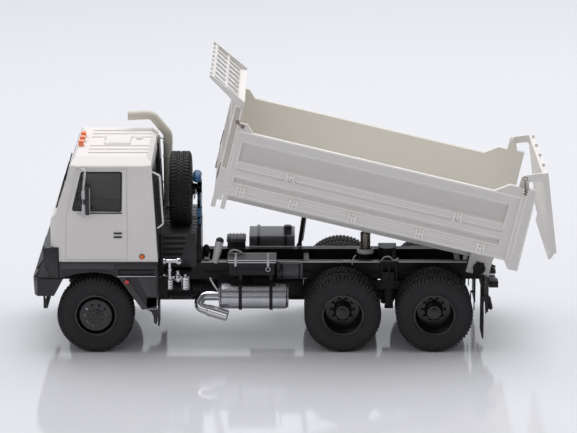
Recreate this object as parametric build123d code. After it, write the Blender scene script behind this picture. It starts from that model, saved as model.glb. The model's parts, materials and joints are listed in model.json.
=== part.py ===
# Scale model, 1:43, of a three-axle cab-over tipper lorry with its bed raised and its
# tailgate ajar. Millimetres, +Z up from the ground. The nose points along -X and the
# left side faces -Y. X is counted rearward from the front axle while a piece is made,
# and each piece is moved to the model's origin, the middle of its footprint, when it
# is written.
import math
import os
from build123d import *

os.makedirs("parts", exist_ok=True)

# Whole model
front_axle_x = -66.33
wheelbase = 82.56
bogie_spacing = 30.7
fit_gap = 0.05
moving_gap = 0.3
cut_overrun = 5.0

# Tyres: radius is also the height of every axle
tyre_radius = 12.9
tyre_width = 7.5
tyre_outer_y = 29.0
twin_spacing = 8.5
tread_width = 5.6
shoulder_radius = 12.2
shoulder_step = 0.35
wall_radius = 9.9
bead_width = 6.4

# Rims
rim_radius = 7.15
rim_wall = 0.7
spindle_radius = 0.9
spindle_gap = 0.08
disc_thickness = 0.7
front_disc_radius = 5.3
front_disc_dish = 2.0
front_hub_radius = 1.9
front_hub_rise = 0.6
front_hub_depth = 3.0
hand_hole_count = 10
hand_hole_ring_radius = 3.7
hand_hole_radius = 0.4
rear_disc_radius = 5.6
rear_hub_radius = 2.7
rear_hub_length = 4.0
rear_hub_chamfer = 0.4
hub_wall = 0.6

# Axles, knuckles and backbone
backbone_radius = 2.6
backbone_front_x = -9.0
backbone_rear_x = 119.0
diff_radius = 4.4
diff_flat_y = 3.4
half_axle_radius = 1.9
half_axle_end_radius = 1.5
drum_radius = 5.6
drum_inner_y = 13.2
drum_wheel_gap = 0.5
kingpin_y = 23.0
kingpin_radius = 0.6
kingpin_gap = 0.08
knuckle_half_width = 1.4
knuckle_half_height = 3.4
knuckle_inboard = 1.0
knuckle_hub_gap = 0.3
fork_thickness = 1.0
fork_half_width = 1.5
fork_gap = 0.15
fork_reach = 1.1
fork_web_gap = 0.9
fork_web = 0.8
gearbox_x = (7.0, 23.0)
gearbox_half_width = 5.0
gearbox_z = (11.6, 20.0)
screw_xs = (15.0, 98.2)
screw_radius = 0.9
screw_depth = 4.0
screw_boss_radius = 2.2
screw_boss_drop = 3.6

# Frame
rail_outer_y = 10.0
rail_z = (20.4, 26.4)
rail_flange = 3.0
rail_web = 0.9
rail_x = (-13.4, 130.9)
crossmember_xs = (-8.0, 36.5, 70.5, 98.2, 122.0)
crossmember_thickness = 1.8
hanger_xs = (36.5, 70.5, 98.2)
hanger_half_width = 3.2
rest_disc_x = 98.2
rest_disc_radius = 3.0
rest_disc_top = 29.2

# Bed pivot and hitch
pivot_x = 128.86
pivot_z = 24.94
pivot_radius = 1.5
pivot_half_length = 13.4
pivot_collar = 0.6
pivot_collar_radius = 2.1
rear_plate_thickness = 1.0
rear_plate_z = (17.4, 26.4)
hitch_length = 3.4
hitch_half_width = 2.4
hitch_z = (17.2, 21.4)
hitch_jaw = 1.5
hitch_pin_x = 2.2
hitch_bore = 0.6

# Rear lamps and flaps
lamp_bar_z = (17.6, 19.4)
lamp_bar_thickness = 1.2
lamp_bar_half_width = 28.0
rear_lamp_y = (17.5, 27.2)
rear_lamp_height = 4.4
rear_lamp_depth = 1.3
flap_thickness = 0.5
flap_bottom = 4.7
flap_y = (15.6, 28.0)

# Telescopic cylinder: heights are counted from the trunnion
trunnion_x = 90.7
trunnion_z = 24.0
trunnion_radius = 0.7
trunnion_half_length = 4.6
barrel_radius = 2.3
barrel_low = -6.7
barrel_high = 4.8
stage_radius = 1.7
stage_length = 11.4
stage_low = -1.4
rod_radius = 1.25
rod_low = 3.5
slide_gap = 0.08
barrel_floor = 0.6
eye_height = 16.6
eye_radius = 1.5
eye_half_width = 1.2
eye_pin_radius = 0.6
eye_pin_reach = 0.4
cradle_half_length = 1.8
cradle_inner_y = 3.0

# Cab: outline of the side in X and Z, then the front's widths
cab_bottom = 31.5
cab_roof = 66.0
cab_rear = 20.9
cab_rear_top = 19.0
cab_notch = (-11.9, 36.5)
cab_nose = (-15.0, 41.5)
cab_nose_rise = 0.5
cab_brow = (-14.3, 46.4)
screen_foot = (-12.9, 47.7)
screen_head_x = -7.5
screen_head_drop = 1.3
roof_front_x = -6.2
roof_drop = 1.4
cab_half_width = 28.6
cab_waist = 48.5
cab_head_inset = 0.8
roof_slope_width = 6.6
roof_edge_drop = 1.8
cab_bow = 0.9
cab_corner = 2.2
roof_corner = 1.6
cab_wall = 0.9
gutter_height = 0.45
gutter_depth = 0.5
gutter_drop = 2.4
roof_rib_ys = (6.5, 11.5, 16.5)
roof_rib_width = 1.0
roof_rib_rise = 0.3
roof_rib_x = (-2.5, 17.5)

# Windows: corners in X and Z at the side, in Y and Z at the front and rear
door_window_foot = ((-7.5, 48.9), (9.2, 48.6))
door_window_head_x = (-4.2, 9.5)
door_window_drop = 3.8
windscreen_middle_y = 0.7
windscreen_foot_z = 49.2
windscreen_drop = 2.8
pillar_width = (3.4, 2.4)
rear_window_half_width = 12.0
rear_window_foot_z = 52.0
rear_window_drop = 5.0
window_corner = 0.8
seal_width = 0.65
seal_proud = 0.12
seal_depth = 0.75
glass_inset = 0.25
glass_thickness = 0.4
quarter_bar_x = (-3.1, -2.6)
groove_width = 0.25
groove_depth = 0.25
door_foot = ((-9.8, 32.2), (-9.4, 46.6))
door_head_x = -5.7
door_rear_x = 11.05
door_drop = 3.0

# Cab furniture
seat_ys = (-14.5, 14.5)
seat_width = 11.0
seat_x = (-1.0, 8.5)
seat_z = (38.0, 41.0)
seat_back_x = (8.5, 10.8)
seat_headroom = 12.0
seat_base_inset = 1.2
seat_corner = 0.8
tunnel_half_width = 6.5
tunnel_top = 43.5
tunnel_x = (-8.5, 18.0)
dash_x = (-11.6, -7.2)
dash_z = (40.5, 47.2)
dash_side_gap = 2.1
bunk_x = (12.6, 18.6)
bunk_z = (32.6, 42.0)
wheel_centre = (-4.2, -14.5, 49.0)
wheel_ring_radius = 4.3
wheel_wire_radius = 0.45
wheel_tilt_deg = 35.0
column_radius = 0.6
column_length = 4.0
spoke_count = 3

# Nose, bumper and fenders
apron_top = 36.4
apron_front_x = -17.2
apron_fold = (-16.8, 31.2)
apron_foot = (-14.8, 26.0)
apron_rear_x = -12.1
apron_wall = 1.2
nose_proud = 0.4
nose_corner = 3.0
slot_count = 5
slot_height = 0.9
slot_half_width = 13.0
slot_depth = 0.7
headlamp_inset = (12.0, 4.0)
headlamp_z = (28.4, 33.6)
headlamp_depth = 0.9
headlamp_proud = 0.3
bumper_top = 25.8
bumper_bottom = 19.8
bumper_front_x = -20.8
bumper_foot_x = -20.4
bumper_rear_x = (-10.6, -13.8)
bumper_wall = 1.0
step_bar_drop = 5.4
step_bar_thickness = 0.7
step_bar_x = -17.7
step_bar_inset = (17.0, 4.0)
fender_width = 8.6
arch_points = ((15.6, 15.0), (8.2, 25.6), (5.2, 27.4), (-0.5, 28.1), (-6.0, 27.6), (-11.9, 25.9))
fender_rear_x = 20.8
fender_foot_z = 16.6
step_recess_x = (7.8, 19.6)
step_recess_z = (26.7, 29.0)
step_recess_depth = 3.0
front_flap_bottom = 9.4

# Fittings on the cab
roof_lamp_ys = (-6.5, 0.0, 6.5)
roof_lamp_size = (1.7, 3.0, 2.0)
roof_lamp_corner = 0.6
hatch_x = (2.5, 11.0)
hatch_half_width = 6.0
hatch_rise = 0.8
side_lamp_radius = 0.75
side_lamp_depth = 0.5
side_lamp_spots = ((15.7, 33.3), (10.6, 24.7))
handle_x = (6.4, 9.1)
handle_zs = (39.8, 41.1)
handle_height = 0.5
handle_proud = 0.4
mirror_arm_radius = 0.3
mirror_arm_bend = 0.8
mirror_standoff = 2.9
mirror_x = -2.5
mirror_drop = 2.8
mirror_foot = 47.8
mirror_housing = (2.2, 3.6, 9.4)
mirror_housing_share = 0.347
mirror_housing_corner = 0.6
wiper_radius = 0.22
wiper_lift = 0.35
wiper_ys = (6.0, 19.0)
wiper_length_share = 0.62
wiper_lean = 3.4
grab_rail_radius = 0.3
grab_rail_inset = 2.6
grab_rail_foot = 42.4
grab_rail_drop = 4.2
grab_rail_standoff = 0.9
grab_rail_turn = 1.4
grab_rail_bend = 0.9
snorkel_inset = 9.0
snorkel_radius = 1.6
snorkel_wall = 0.5
snorkel_bend = 3.4
snorkel_x = (22.7, 17.2, 9.0)
snorkel_bend_drop = 1.6
snorkel_rise = (5.0, 4.6)

# Behind the cab
spare_x = 27.85
spare_z = 49.5
housing_x = (21.4, 33.4)
housing_y = (-17.0, 22.4)
housing_z = (26.45, 38.3)
louvre_count = 4
louvre_height = 0.7
louvre_pitch = 1.9
louvre_x = (22.4, 29.6)
louvre_depth = 0.8
post_thickness = 1.4
post_half_width = 2.2
post_top = 52.4
post_foot_half_width = 9.0
post_foot_top = 38.0
carrier_bolt_radius = 1.2
winch_radius = 1.5
winch_half_length = 3.0
valve_y = -22.6
valve_pipe_radius = 0.8
canister_radius = 1.5
canister_xs = (24.6, 29.6)
canister_z = (20.9, 27.2)
canister_rib_count = 4
canister_rib_depth = 0.25
canister_rib_height = 0.5
valve_pipe_z = 29.8
valve_bracket_x = (22.6, 31.6)
valve_bracket_z = (24.4, 25.6)
filler_x = 40.6
filler_y = -11.75
filler_radii = (1.1, 1.5)
filler_z = (26.45, 33.6)
filler_cap_radius = 1.0
filler_cap_height = 1.8
pump_box_x = (43.6, 49.6)
pump_box_half_width = 3.4
pump_box_top = 32.6
pump_box_foot = 0.5

# Things hung on the frame's sides
battery_x = (44.3, 59.9)
battery_y = (-19.6, -11.2)
battery_z = (24.4, 29.7)
battery_lid = 0.7
battery_corner = 0.5
muffler_x = (41.0, 64.4)
muffler_y = -19.6
muffler_z = 17.2
muffler_radius = 4.3
muffler_dish = 0.8
strap_xs = (48.2, 58.5)
strap_width = 1.1
strap_thickness = 0.4
bracket_z = (21.9, 24.3)
tailpipe_radius = 1.6
tailpipe_wall = 0.3
tailpipe_bend = 1.9
tailpipe_route = ((41.0, -19.6, 17.2), (35.5, -19.6, 17.2), (33.4, -22.0, 14.2), (43.8, -23.6, 11.4))
air_tank_x = (60.6, 69.2)
air_tank_y = -13.0
air_tank_z = 24.0
air_tank_radius = 2.7
tank_x = (50.8, 66.6)
tank_y = (12.4, 28.2)
tank_z = (15.8, 29.3)
tank_corner = 1.6
tank_cap_x = 64.2
tank_cap_y = 18.0
tank_cap_radius = 1.5
tank_cap_height = 1.6
spring_y = (10.4, 12.6)
leaf_count = 4
leaf_thickness = 0.7
leaf_half_length = 13.6
leaf_step = 2.6
spring_x = 97.91
spring_top = 20.2
saddle_half_length = 2.3
pedestal_x = (97.2, 99.9)
pedestal_bottom = 10.8

# Bed: drawn lowered, then tipped about its pivot
bed_tilt_deg = 13.6
bed_front_x = 38.1
bed_rear_x = 134.2
bed_half_width = 28.4
bed_top = 55.75
bed_floor_z = 37.2
bed_bottom = 33.5
floor_plate = 0.7
floor_sheet = 0.2
floor_sheet_gap = 0.4
board_inner_y = 26.6
panel_recess = 0.9
top_rail_share = 0.14
upper_panel_share = 0.46
mid_rib_share = 0.69
rib_groove = 0.5
rib_groove_depth = 0.4
bottom_rail_height = 0.8
end_strip = (2.3, 3.2)
cross_beam_count = 8
cross_beam_width = 2.0
cross_beam_x = (46.0, 128.9)
cross_beam_bottom = 33.7
beam_y = (6.3, 8.8)
beam_bottom = 27.2
beam_x = (39.6, 128.9)
hinge_length = 1.6
hinge_radius = 0.55
hinge_gap = 0.8
mid_hinge_xs = (58.5, 115.5)
low_hinge_xs = (43.5, 61.5, 81.5, 104.5, 125.5)
ear_length = 5.0
ear_rise = 2.6
rear_ear_length = 9.0
rear_ear_rise = 3.2
post_outer_y = 28.9
rear_post = ((134.2, 59.1), (134.2, 33.5), (136.0, 30.9), (139.4, 31.0), (138.9, 59.1))
head_front_x = 35.2
head_plate = 0.8
head_top = 64.1
head_post_bottom = 31.5
leg_bottom = 28.7
leg_length = 1.4
beam_leg_x = 38.4
head_post_width = 2.6
head_rib_count = 5
head_rib_width = 1.4
head_rail_height = 1.6
head_foot_z = 33.6
guard_side = ((38.1, 64.1), (35.2, 64.1), (31.7, 66.6), (24.7, 71.0), (24.9, 71.9), (33.6, 67.6),
              (38.1, 65.4))
guard_side_thickness = 1.0
guard_slat_count = 7
guard_slat_width = 1.3
guard_slat = ((35.4, 65.0), (24.8, 71.0), (25.0, 71.6), (35.8, 65.7))
guard_bar_xs = (25.6, 30.4)
guard_bar_length = 1.0
pivot_bracket_y = (10.4, 12.3)
pivot_bracket_half_length = 3.9
pivot_leg = 2.4
eye_lug_inner = 1.75
eye_lug_thickness = 0.95
eye_lug_half_length = 2.0
eye_lug_drop = 1.6
prop_y = 11.35
prop_radius = 0.7
prop_foot_x = 69.5
prop_foot_z = 12.6
prop_head_x = 67.3
prop_foot_radius = 0.95
prop_foot_length = 1.6
stay_radius = 0.35
stay_z = 24.2
stay_x = 81.0

# Tailgate: drawn closed, then swung about its own pivot and tipped with the bed
gate_open_deg = 20.5
gate_pivot_x = 134.0
gate_pivot_z = 62.2
gate_pin_radius = 0.55
gate_pin_gap = 0.08
gate_ear_thickness = 1.2
gate_arm_height = 2.3
gate_inner_x = 139.8
gate_outer_x = 141.7
gate_plate = 0.8
gate_top = 63.3
gate_bottom = 35.6
gate_lip_x = 138.9
gate_lip_z = 33.2
gate_half_width = 28.9
gate_rib_xs_share = (-0.96, -0.5, 0.0, 0.5, 0.96)
gate_rib_width = 1.6
gate_rail_zs_share = (0.03, 0.36, 0.68, 0.965)
gate_rail_height = 1.7

axle_xs = (0, wheelbase, wheelbase + bogie_spacing)
axle_z = tyre_radius
front_wheel_y = tyre_outer_y - tyre_width / 2
twin_y = front_wheel_y - twin_spacing / 2
bead = bead_width / 2
spindle_bore = spindle_radius + spindle_gap

cab_head_half_width = cab_half_width - cab_head_inset
roof_flat_half_width = cab_half_width - roof_slope_width
gutter_z = cab_roof - gutter_drop
screen_head = (screen_head_x, cab_roof - screen_head_drop)
door_window = (door_window_foot[0], (door_window_head_x[0], cab_roof - door_window_drop),
               (door_window_head_x[1], cab_roof - door_window_drop), door_window_foot[1])
windscreen = ((windscreen_middle_y, windscreen_foot_z), (windscreen_middle_y, cab_roof - windscreen_drop),
              (cab_half_width - pillar_width[0], cab_roof - windscreen_drop),
              (cab_half_width - pillar_width[1], windscreen_foot_z))
rear_window = ((-rear_window_half_width, rear_window_foot_z),
               (-rear_window_half_width, cab_roof - rear_window_drop),
               (rear_window_half_width, cab_roof - rear_window_drop),
               (rear_window_half_width, rear_window_foot_z))
door_outline = (*door_foot, (door_head_x, cab_roof - door_drop), (door_rear_x, cab_roof - door_drop),
                (door_rear_x, door_foot[0][1]))
seat_back_top = cab_roof - seat_headroom
dash_half_width = cab_half_width - dash_side_gap
nose_half_width = cab_half_width + nose_proud
headlamp_y = [nose_half_width - inset for inset in headlamp_inset]
step_bar_y = [nose_half_width - inset for inset in step_bar_inset]
fender_y = (-nose_half_width, fender_width - nose_half_width)
mirror_y = cab_half_width + mirror_standoff
mirror_top = cab_roof - mirror_drop
mirror_housing_z = mirror_foot + (mirror_top - mirror_foot) * mirror_housing_share
grab_rail_y = cab_half_width - grab_rail_inset
grab_rail_z = (grab_rail_foot, cab_roof - grab_rail_drop)
snorkel_y = cab_half_width - snorkel_inset
snorkel_route = ((snorkel_x[0], housing_z[1]), (snorkel_x[0], cab_roof - snorkel_bend_drop),
                 (snorkel_x[1], cab_roof + snorkel_rise[0]), (snorkel_x[2], cab_roof + snorkel_rise[1]))

gate_ear_inner = board_inner_y - moving_gap
gate_ear_y = (gate_ear_inner, gate_ear_inner + gate_ear_thickness)
gate_arm_y = (gate_ear_y[1] + moving_gap, gate_half_width)
eye_lug_y = (eye_lug_inner, eye_lug_inner + eye_lug_thickness)


def block(x, y, z):
    """A box between two corners, given as (low, high) pairs."""
    spans = [sorted(pair) for pair in (x, y, z)]
    size = [high - low for low, high in spans]
    middle = [(high + low) / 2 for low, high in spans]
    return Pos(*middle) * Box(*size)


def side_plate(points, y, corner=0):
    """An outline in X and Z, as thick as the (low, high) pair y."""
    outline = Polygon(*points, align=None)
    if corner:
        outline = fillet(outline.vertices(), corner)
    low, high = sorted(y)
    return extrude(Plane.XZ.offset(-high) * outline, high - low, dir=(0, -1, 0))


def front_plate(points, x, corner=0):
    """An outline in Y and Z, as long as the (low, high) pair x."""
    outline = Polygon(*points, align=None)
    if corner:
        outline = fillet(outline.vertices(), corner)
    return extrude(Plane.YZ.offset(x[0]) * outline, x[1] - x[0], dir=(1, 0, 0))


def bar(start, end, radius):
    """A round bar between two points."""
    run = Vector(*end) - Vector(*start)
    place = Plane(origin=start, z_dir=run)
    return place * Cylinder(radius, run.length, align=(Align.CENTER, Align.CENTER, Align.MIN))


def bent_bar(points, radius, bend):
    """A round bar along a line of points, with rounded corners."""
    path = FilletPolyline(*points, radius=bend)
    return sweep(Plane(origin=path @ 0, z_dir=path % 0) * Circle(radius), path=path)


def bent_pipe(points, radius, wall, bend):
    """A bent bar that is hollow and open at its far end."""
    return bent_bar(points, radius, bend) - bent_bar(points, radius - wall, bend)


def turned(points):
    """A body of revolution about Z from points of radius and height."""
    return revolve(Plane.XZ * Polygon(*points, align=None), axis=Axis.Z)


def other_side(shape):
    """The mirror image on the other side of the middle plane."""
    return mirror(shape, about=Plane.XZ)


def both_sides(shape):
    return shape + other_side(shape)


def spread(low, high, count):
    """Evenly spaced places from low to high."""
    return [low + (high - low) * i / (count - 1) for i in range(count)]


def write(name, shape):
    """Move a piece from the front axle to the model's origin and save it."""
    export_step(Pos(front_axle_x, 0, 0) * shape, f"parts/{name}.step")


# Wheels


def tyre():
    """A tyre about Z, its middle at height zero."""
    half = tyre_width / 2
    tread = tread_width / 2
    shoulder = half - shoulder_step
    edges = [Line((rim_radius, -bead), (rim_radius, bead))]
    for side in (1, -1):
        wall = ThreePointArc((rim_radius, side * bead), (wall_radius, side * half),
                             (shoulder_radius, side * shoulder))
        edges += [wall, Line((shoulder_radius, side * shoulder), (tyre_radius, side * tread))]
    edges.append(Line((tyre_radius, tread), (tyre_radius, -tread)))
    return revolve(Plane.XZ * make_face(edges), axis=Axis.Z)


def front_rim(bored=True):
    """A rim about Z whose domed disc stands near its outer edge."""
    inner = rim_radius - rim_wall
    face = bead
    back = face - disc_thickness
    bore = spindle_bore if bored else 0
    outline = [(rim_radius, -bead), (rim_radius, bead), (inner, bead), (inner, face - front_disc_dish),
               (front_disc_radius, face), (front_hub_radius, face),
               (front_hub_radius, face + front_hub_rise), (0, face + front_hub_rise)]
    if bored:
        outline += [(0, back), (bore, back), (bore, face - front_hub_depth),
                    (front_hub_radius, face - front_hub_depth), (front_hub_radius, back)]
    else:
        outline += [(0, back)]
    outline += [(front_disc_radius - disc_thickness / 2, back),
                (inner, back - front_disc_dish), (inner, -bead)]
    rim = turned(outline)
    holes = PolarLocations(hand_hole_ring_radius, hand_hole_count)
    drill = Cylinder(hand_hole_radius, disc_thickness + cut_overrun)
    return rim - [Pos(0, 0, face) * place * drill for place in holes]


def twin_rim():
    """Two rims about Z, back to back on one disc, with a hub to the outside."""
    inner = rim_radius - rim_wall
    near = twin_spacing / 2 - bead
    far = twin_spacing / 2 + bead
    skin = disc_thickness / 2
    cone = near + skin
    hub_end = skin + rear_hub_length
    outline = [(0, hub_end), (rear_hub_radius - rear_hub_chamfer, hub_end),
               (rear_hub_radius, hub_end - rear_hub_chamfer), (rear_hub_radius, skin),
               (rear_disc_radius, skin), (inner, cone), (inner, far), (rim_radius, far),
               (rim_radius, near), (rear_disc_radius + skin, 0), (rim_radius, -near),
               (rim_radius, -far), (inner, -far), (inner, -cone), (rear_disc_radius, -skin),
               (spindle_bore, -skin), (spindle_bore, hub_end - hub_wall), (0, hub_end - hub_wall)]
    return turned(outline)


def on_left(shape, x, y):
    """Put a wheel piece on the left side, its outer face towards -Y."""
    return Pos(x, -y, axle_z) * Rot(90, 0, 0) * shape


def twin_tyres():
    return Pos(0, 0, twin_spacing / 2) * tyre() + Pos(0, 0, -twin_spacing / 2) * tyre()


def write_wheels():
    for axle, x in zip(("front", "middle", "rear"), axle_xs):
        front = axle == "front"
        tyres = tyre() if front else twin_tyres()
        rim = front_rim() if front else twin_rim()
        y = front_wheel_y if front else twin_y
        for side, place in (("left", lambda shape: shape), ("right", other_side)):
            write(f"tyre_{axle}_{side}", place(on_left(tyres, x, y)))
            write(f"rim_{axle}_{side}", place(on_left(rim, x, y)))
    on_carrier = Pos(spare_x, 0, spare_z) * Rot(0, 90, 0)
    write("tyre_spare", on_carrier * tyre())
    write("rim_spare", on_carrier * front_rim(bored=False))


# Axles and drive


def front_axle():
    """The left half axle: tube, fork and kingpin."""
    web_y = kingpin_y - knuckle_inboard - fork_web_gap
    half_height = knuckle_half_height + fork_gap + fork_thickness
    tube = bar((0, -diff_flat_y, axle_z), (0, -(web_y - fork_web), axle_z), half_axle_end_radius)
    fork = block((-fork_half_width, fork_half_width), (-(kingpin_y + fork_reach), -(web_y - fork_web)),
                 (axle_z - half_height, axle_z + half_height))
    gap = knuckle_half_height + fork_gap
    fork -= block((-cut_overrun, cut_overrun), (-(kingpin_y + cut_overrun), -web_y),
                  (axle_z - gap, axle_z + gap))
    kingpin = bar((0, -kingpin_y, axle_z - half_height), (0, -kingpin_y, axle_z + half_height),
                  kingpin_radius)
    return tube + fork + kingpin


def knuckle():
    """The left steering knuckle with its wheel spindle."""
    hub_y = front_wheel_y + bead - front_hub_depth
    end_y = hub_y - knuckle_hub_gap
    spindle_end = front_wheel_y + bead - disc_thickness - knuckle_hub_gap
    body = block((-knuckle_half_width, knuckle_half_width), (-(kingpin_y - knuckle_inboard), -end_y),
                 (axle_z - knuckle_half_height, axle_z + knuckle_half_height))
    bore = bar((0, -kingpin_y, axle_z - knuckle_half_height - cut_overrun),
               (0, -kingpin_y, axle_z + knuckle_half_height + cut_overrun), kingpin_radius + kingpin_gap)
    spindle = bar((0, -end_y, axle_z), (0, -spindle_end, axle_z), spindle_radius)
    return body - bore + spindle


def rear_axle(x):
    """The left half of a driven axle: tube, brake drum and wheel spindle."""
    drum_end = twin_y - disc_thickness / 2 - drum_wheel_gap
    spindle_end = twin_y + disc_thickness / 2 + rear_hub_length - hub_wall - drum_wheel_gap
    tube = bar((x, -diff_flat_y, axle_z), (x, -drum_inner_y, axle_z), half_axle_radius)
    drum = bar((x, -drum_inner_y, axle_z), (x, -drum_end, axle_z), drum_radius)
    spindle = bar((x, -drum_end, axle_z), (x, -spindle_end, axle_z), spindle_radius)
    return tube + drum + spindle


def backbone():
    """The central tube: gearbox, a differential housing for each axle, two screw bosses."""
    tube = bar((backbone_front_x, 0, axle_z), (backbone_rear_x, 0, axle_z), backbone_radius)
    for x in axle_xs:
        housing = Pos(x, 0, axle_z) * Sphere(diff_radius)
        reach = (x - diff_radius, x + diff_radius)
        housing &= block(reach, (-diff_flat_y, diff_flat_y), (0, axle_z + diff_radius))
        tube += housing
    gearbox = block(gearbox_x, (-gearbox_half_width, gearbox_half_width), gearbox_z)
    tube += chamfer(gearbox.edges().filter_by(Axis.X), fork_thickness)
    for x in screw_xs:
        low = axle_z - screw_boss_drop
        tube += bar((x, 0, low), (x, 0, axle_z), screw_boss_radius)
        tube -= bar((x, 0, low - cut_overrun), (x, 0, low + screw_depth), screw_radius)
    return tube


def write_drive():
    write("backbone_tube", backbone())
    write("axle_front", both_sides(front_axle()))
    write("axles_rear", both_sides(rear_axle(axle_xs[1]) + rear_axle(axle_xs[2])))
    write("knuckle_left", knuckle())
    write("knuckle_right", other_side(knuckle()))


# Frame


def rail():
    """The left side rail, a channel that opens inward, with a hole for the bed's tube."""
    low, high = rail_z
    outer = -rail_outer_y
    inner = outer + rail_flange
    section = [(outer, low), (inner, low), (inner, low + rail_web), (outer + rail_web, low + rail_web),
               (outer + rail_web, high - rail_web), (inner, high - rail_web), (inner, high), (outer, high)]
    channel = front_plate(section, rail_x)
    hole = bar((pivot_x, -rail_outer_y - cut_overrun, pivot_z), (pivot_x, 0, pivot_z),
               pivot_radius + fit_gap)
    return channel - hole


def rail_notches():
    """Room for both rails in what crosses their front ends."""
    notch = block((rail_x[0] - fit_gap, cut_overrun),
                  (-(rail_outer_y + fit_gap), -(rail_outer_y - rail_flange - fit_gap)),
                  (rail_z[0] - fit_gap, rail_z[1] + fit_gap))
    return both_sides(notch)


def crossmember(x):
    """A bar between the rails, with a hanger to the backbone where the table says so."""
    half = crossmember_thickness / 2
    reach = rail_outer_y - rail_web
    low, high = rail_z[0] + rail_web, rail_z[1] - rail_web
    member = block((x - half, x + half), (-reach, reach), (low, high))
    if x in hanger_xs:
        member += block((x - half, x + half), (-hanger_half_width, hanger_half_width), (axle_z, low))
        member -= bar((x - cut_overrun, 0, axle_z), (x + cut_overrun, 0, axle_z), backbone_radius)
    return member


def crossmembers():
    members = [crossmember(x) for x in crossmember_xs]
    disc = bar((rest_disc_x, 0, rail_z[1] - rail_web), (rest_disc_x, 0, rest_disc_top), rest_disc_radius)
    return Part() + members + disc


def pivot_tube():
    tube = bar((pivot_x, -pivot_half_length, pivot_z), (pivot_x, pivot_half_length, pivot_z), pivot_radius)
    collar = bar((pivot_x, -pivot_half_length, pivot_z),
                 (pivot_x, pivot_collar - pivot_half_length, pivot_z), pivot_collar_radius)
    return tube + both_sides(collar)


def cylinder_cradle():
    """The left block that holds the cylinder's trunnion between the rails."""
    reach = (trunnion_x - cradle_half_length, trunnion_x + cradle_half_length)
    z = (rail_z[0] + rail_web, rail_z[1] - rail_web)
    cheek = block(reach, (-(rail_outer_y - rail_web), -cradle_inner_y), z)
    return cheek - bar((trunnion_x, -(rail_outer_y - rail_web), trunnion_z), (trunnion_x, 0, trunnion_z),
                       trunnion_radius + slide_gap)


def rear_crossmember():
    """The plate that closes the frame, the lamp bar ahead of it and the towing jaw behind."""
    front = rail_x[1]
    back = front + rear_plate_thickness
    plate = block((front, back), (-rail_outer_y, rail_outer_y), rear_plate_z)
    lamp_bar = block((front - lamp_bar_thickness, front), (-lamp_bar_half_width, lamp_bar_half_width),
                     lamp_bar_z)
    jaw = block((back, back + hitch_length), (-hitch_half_width, hitch_half_width), hitch_z)
    middle = (hitch_z[0] + hitch_z[1]) / 2
    mouth = (middle - hitch_jaw / 2, middle + hitch_jaw / 2)
    jaw -= block((back + fork_thickness, back + hitch_length + cut_overrun),
                 (-cut_overrun, cut_overrun), mouth)
    pin_x = back + hitch_pin_x
    jaw -= bar((pin_x, 0, hitch_z[0] - cut_overrun), (pin_x, 0, hitch_z[1] + cut_overrun), hitch_bore)
    return plate + lamp_bar + jaw


def rear_lamp():
    front = rail_x[1] - lamp_bar_thickness
    low = lamp_bar_z[1]
    return block((front, front + rear_lamp_depth), (-rear_lamp_y[1], -rear_lamp_y[0]),
                 (low, low + rear_lamp_height))


def mudflaps():
    """A rubber flap behind each front fender and each rear wheel."""
    rear_x = rail_x[1] - lamp_bar_thickness
    rear = block((rear_x - flap_thickness, rear_x), (-flap_y[1], -flap_y[0]), (flap_bottom, lamp_bar_z[1]))
    front = block((fender_rear_x, fender_rear_x + flap_thickness), fender_y,
                  (front_flap_bottom, fender_foot_z + flap_thickness))
    return both_sides(rear + front)


def bogie_spring():
    """The left leaf spring over the two rear axles, with its saddle and pedestal."""
    leaves = Part()
    for i in range(leaf_count):
        half = leaf_half_length - i * leaf_step
        low = spring_top - (i + 1) * leaf_thickness
        leaves += block((spring_x - half, spring_x + half), (-spring_y[1], -spring_y[0]),
                        (low, low + leaf_thickness))
    saddle_z = (spring_top, (rail_z[0] + rail_z[1]) / 2)
    saddle = block((spring_x - saddle_half_length, spring_x + saddle_half_length),
                   (-spring_y[1], -rail_outer_y), saddle_z)
    pedestal = block(pedestal_x, (-spring_y[1], -spring_y[0]),
                     (pedestal_bottom, spring_top - leaf_count * leaf_thickness))
    return leaves + saddle + pedestal


def write_frame():
    write("frame_rail_left", rail())
    write("frame_rail_right", other_side(rail()))
    write("crossmembers", crossmembers() + both_sides(cylinder_cradle()) + pivot_tube())
    write("rear_crossmember", rear_crossmember())
    write("mudflaps", mudflaps())
    write("bogie_springs", both_sides(bogie_spring()))


# Cab


def cab_side_points():
    return [(cab_notch[0], cab_bottom), cab_notch, (cab_nose[0], cab_notch[1]),
            (cab_nose[0] - cab_nose_rise, cab_nose[1]), cab_brow, screen_foot, screen_head,
            (roof_front_x, cab_roof), (cab_rear_top - roof_corner, cab_roof),
            (cab_rear_top, cab_roof - roof_drop), (cab_rear, cab_bottom)]


def cab_front_points():
    half = [(cab_half_width, cab_bottom), (cab_half_width, cab_waist),
            (cab_head_half_width, cab_roof - roof_edge_drop), (roof_flat_half_width, cab_roof)]
    return half + [(-y, z) for y, z in reversed(half)]


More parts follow.
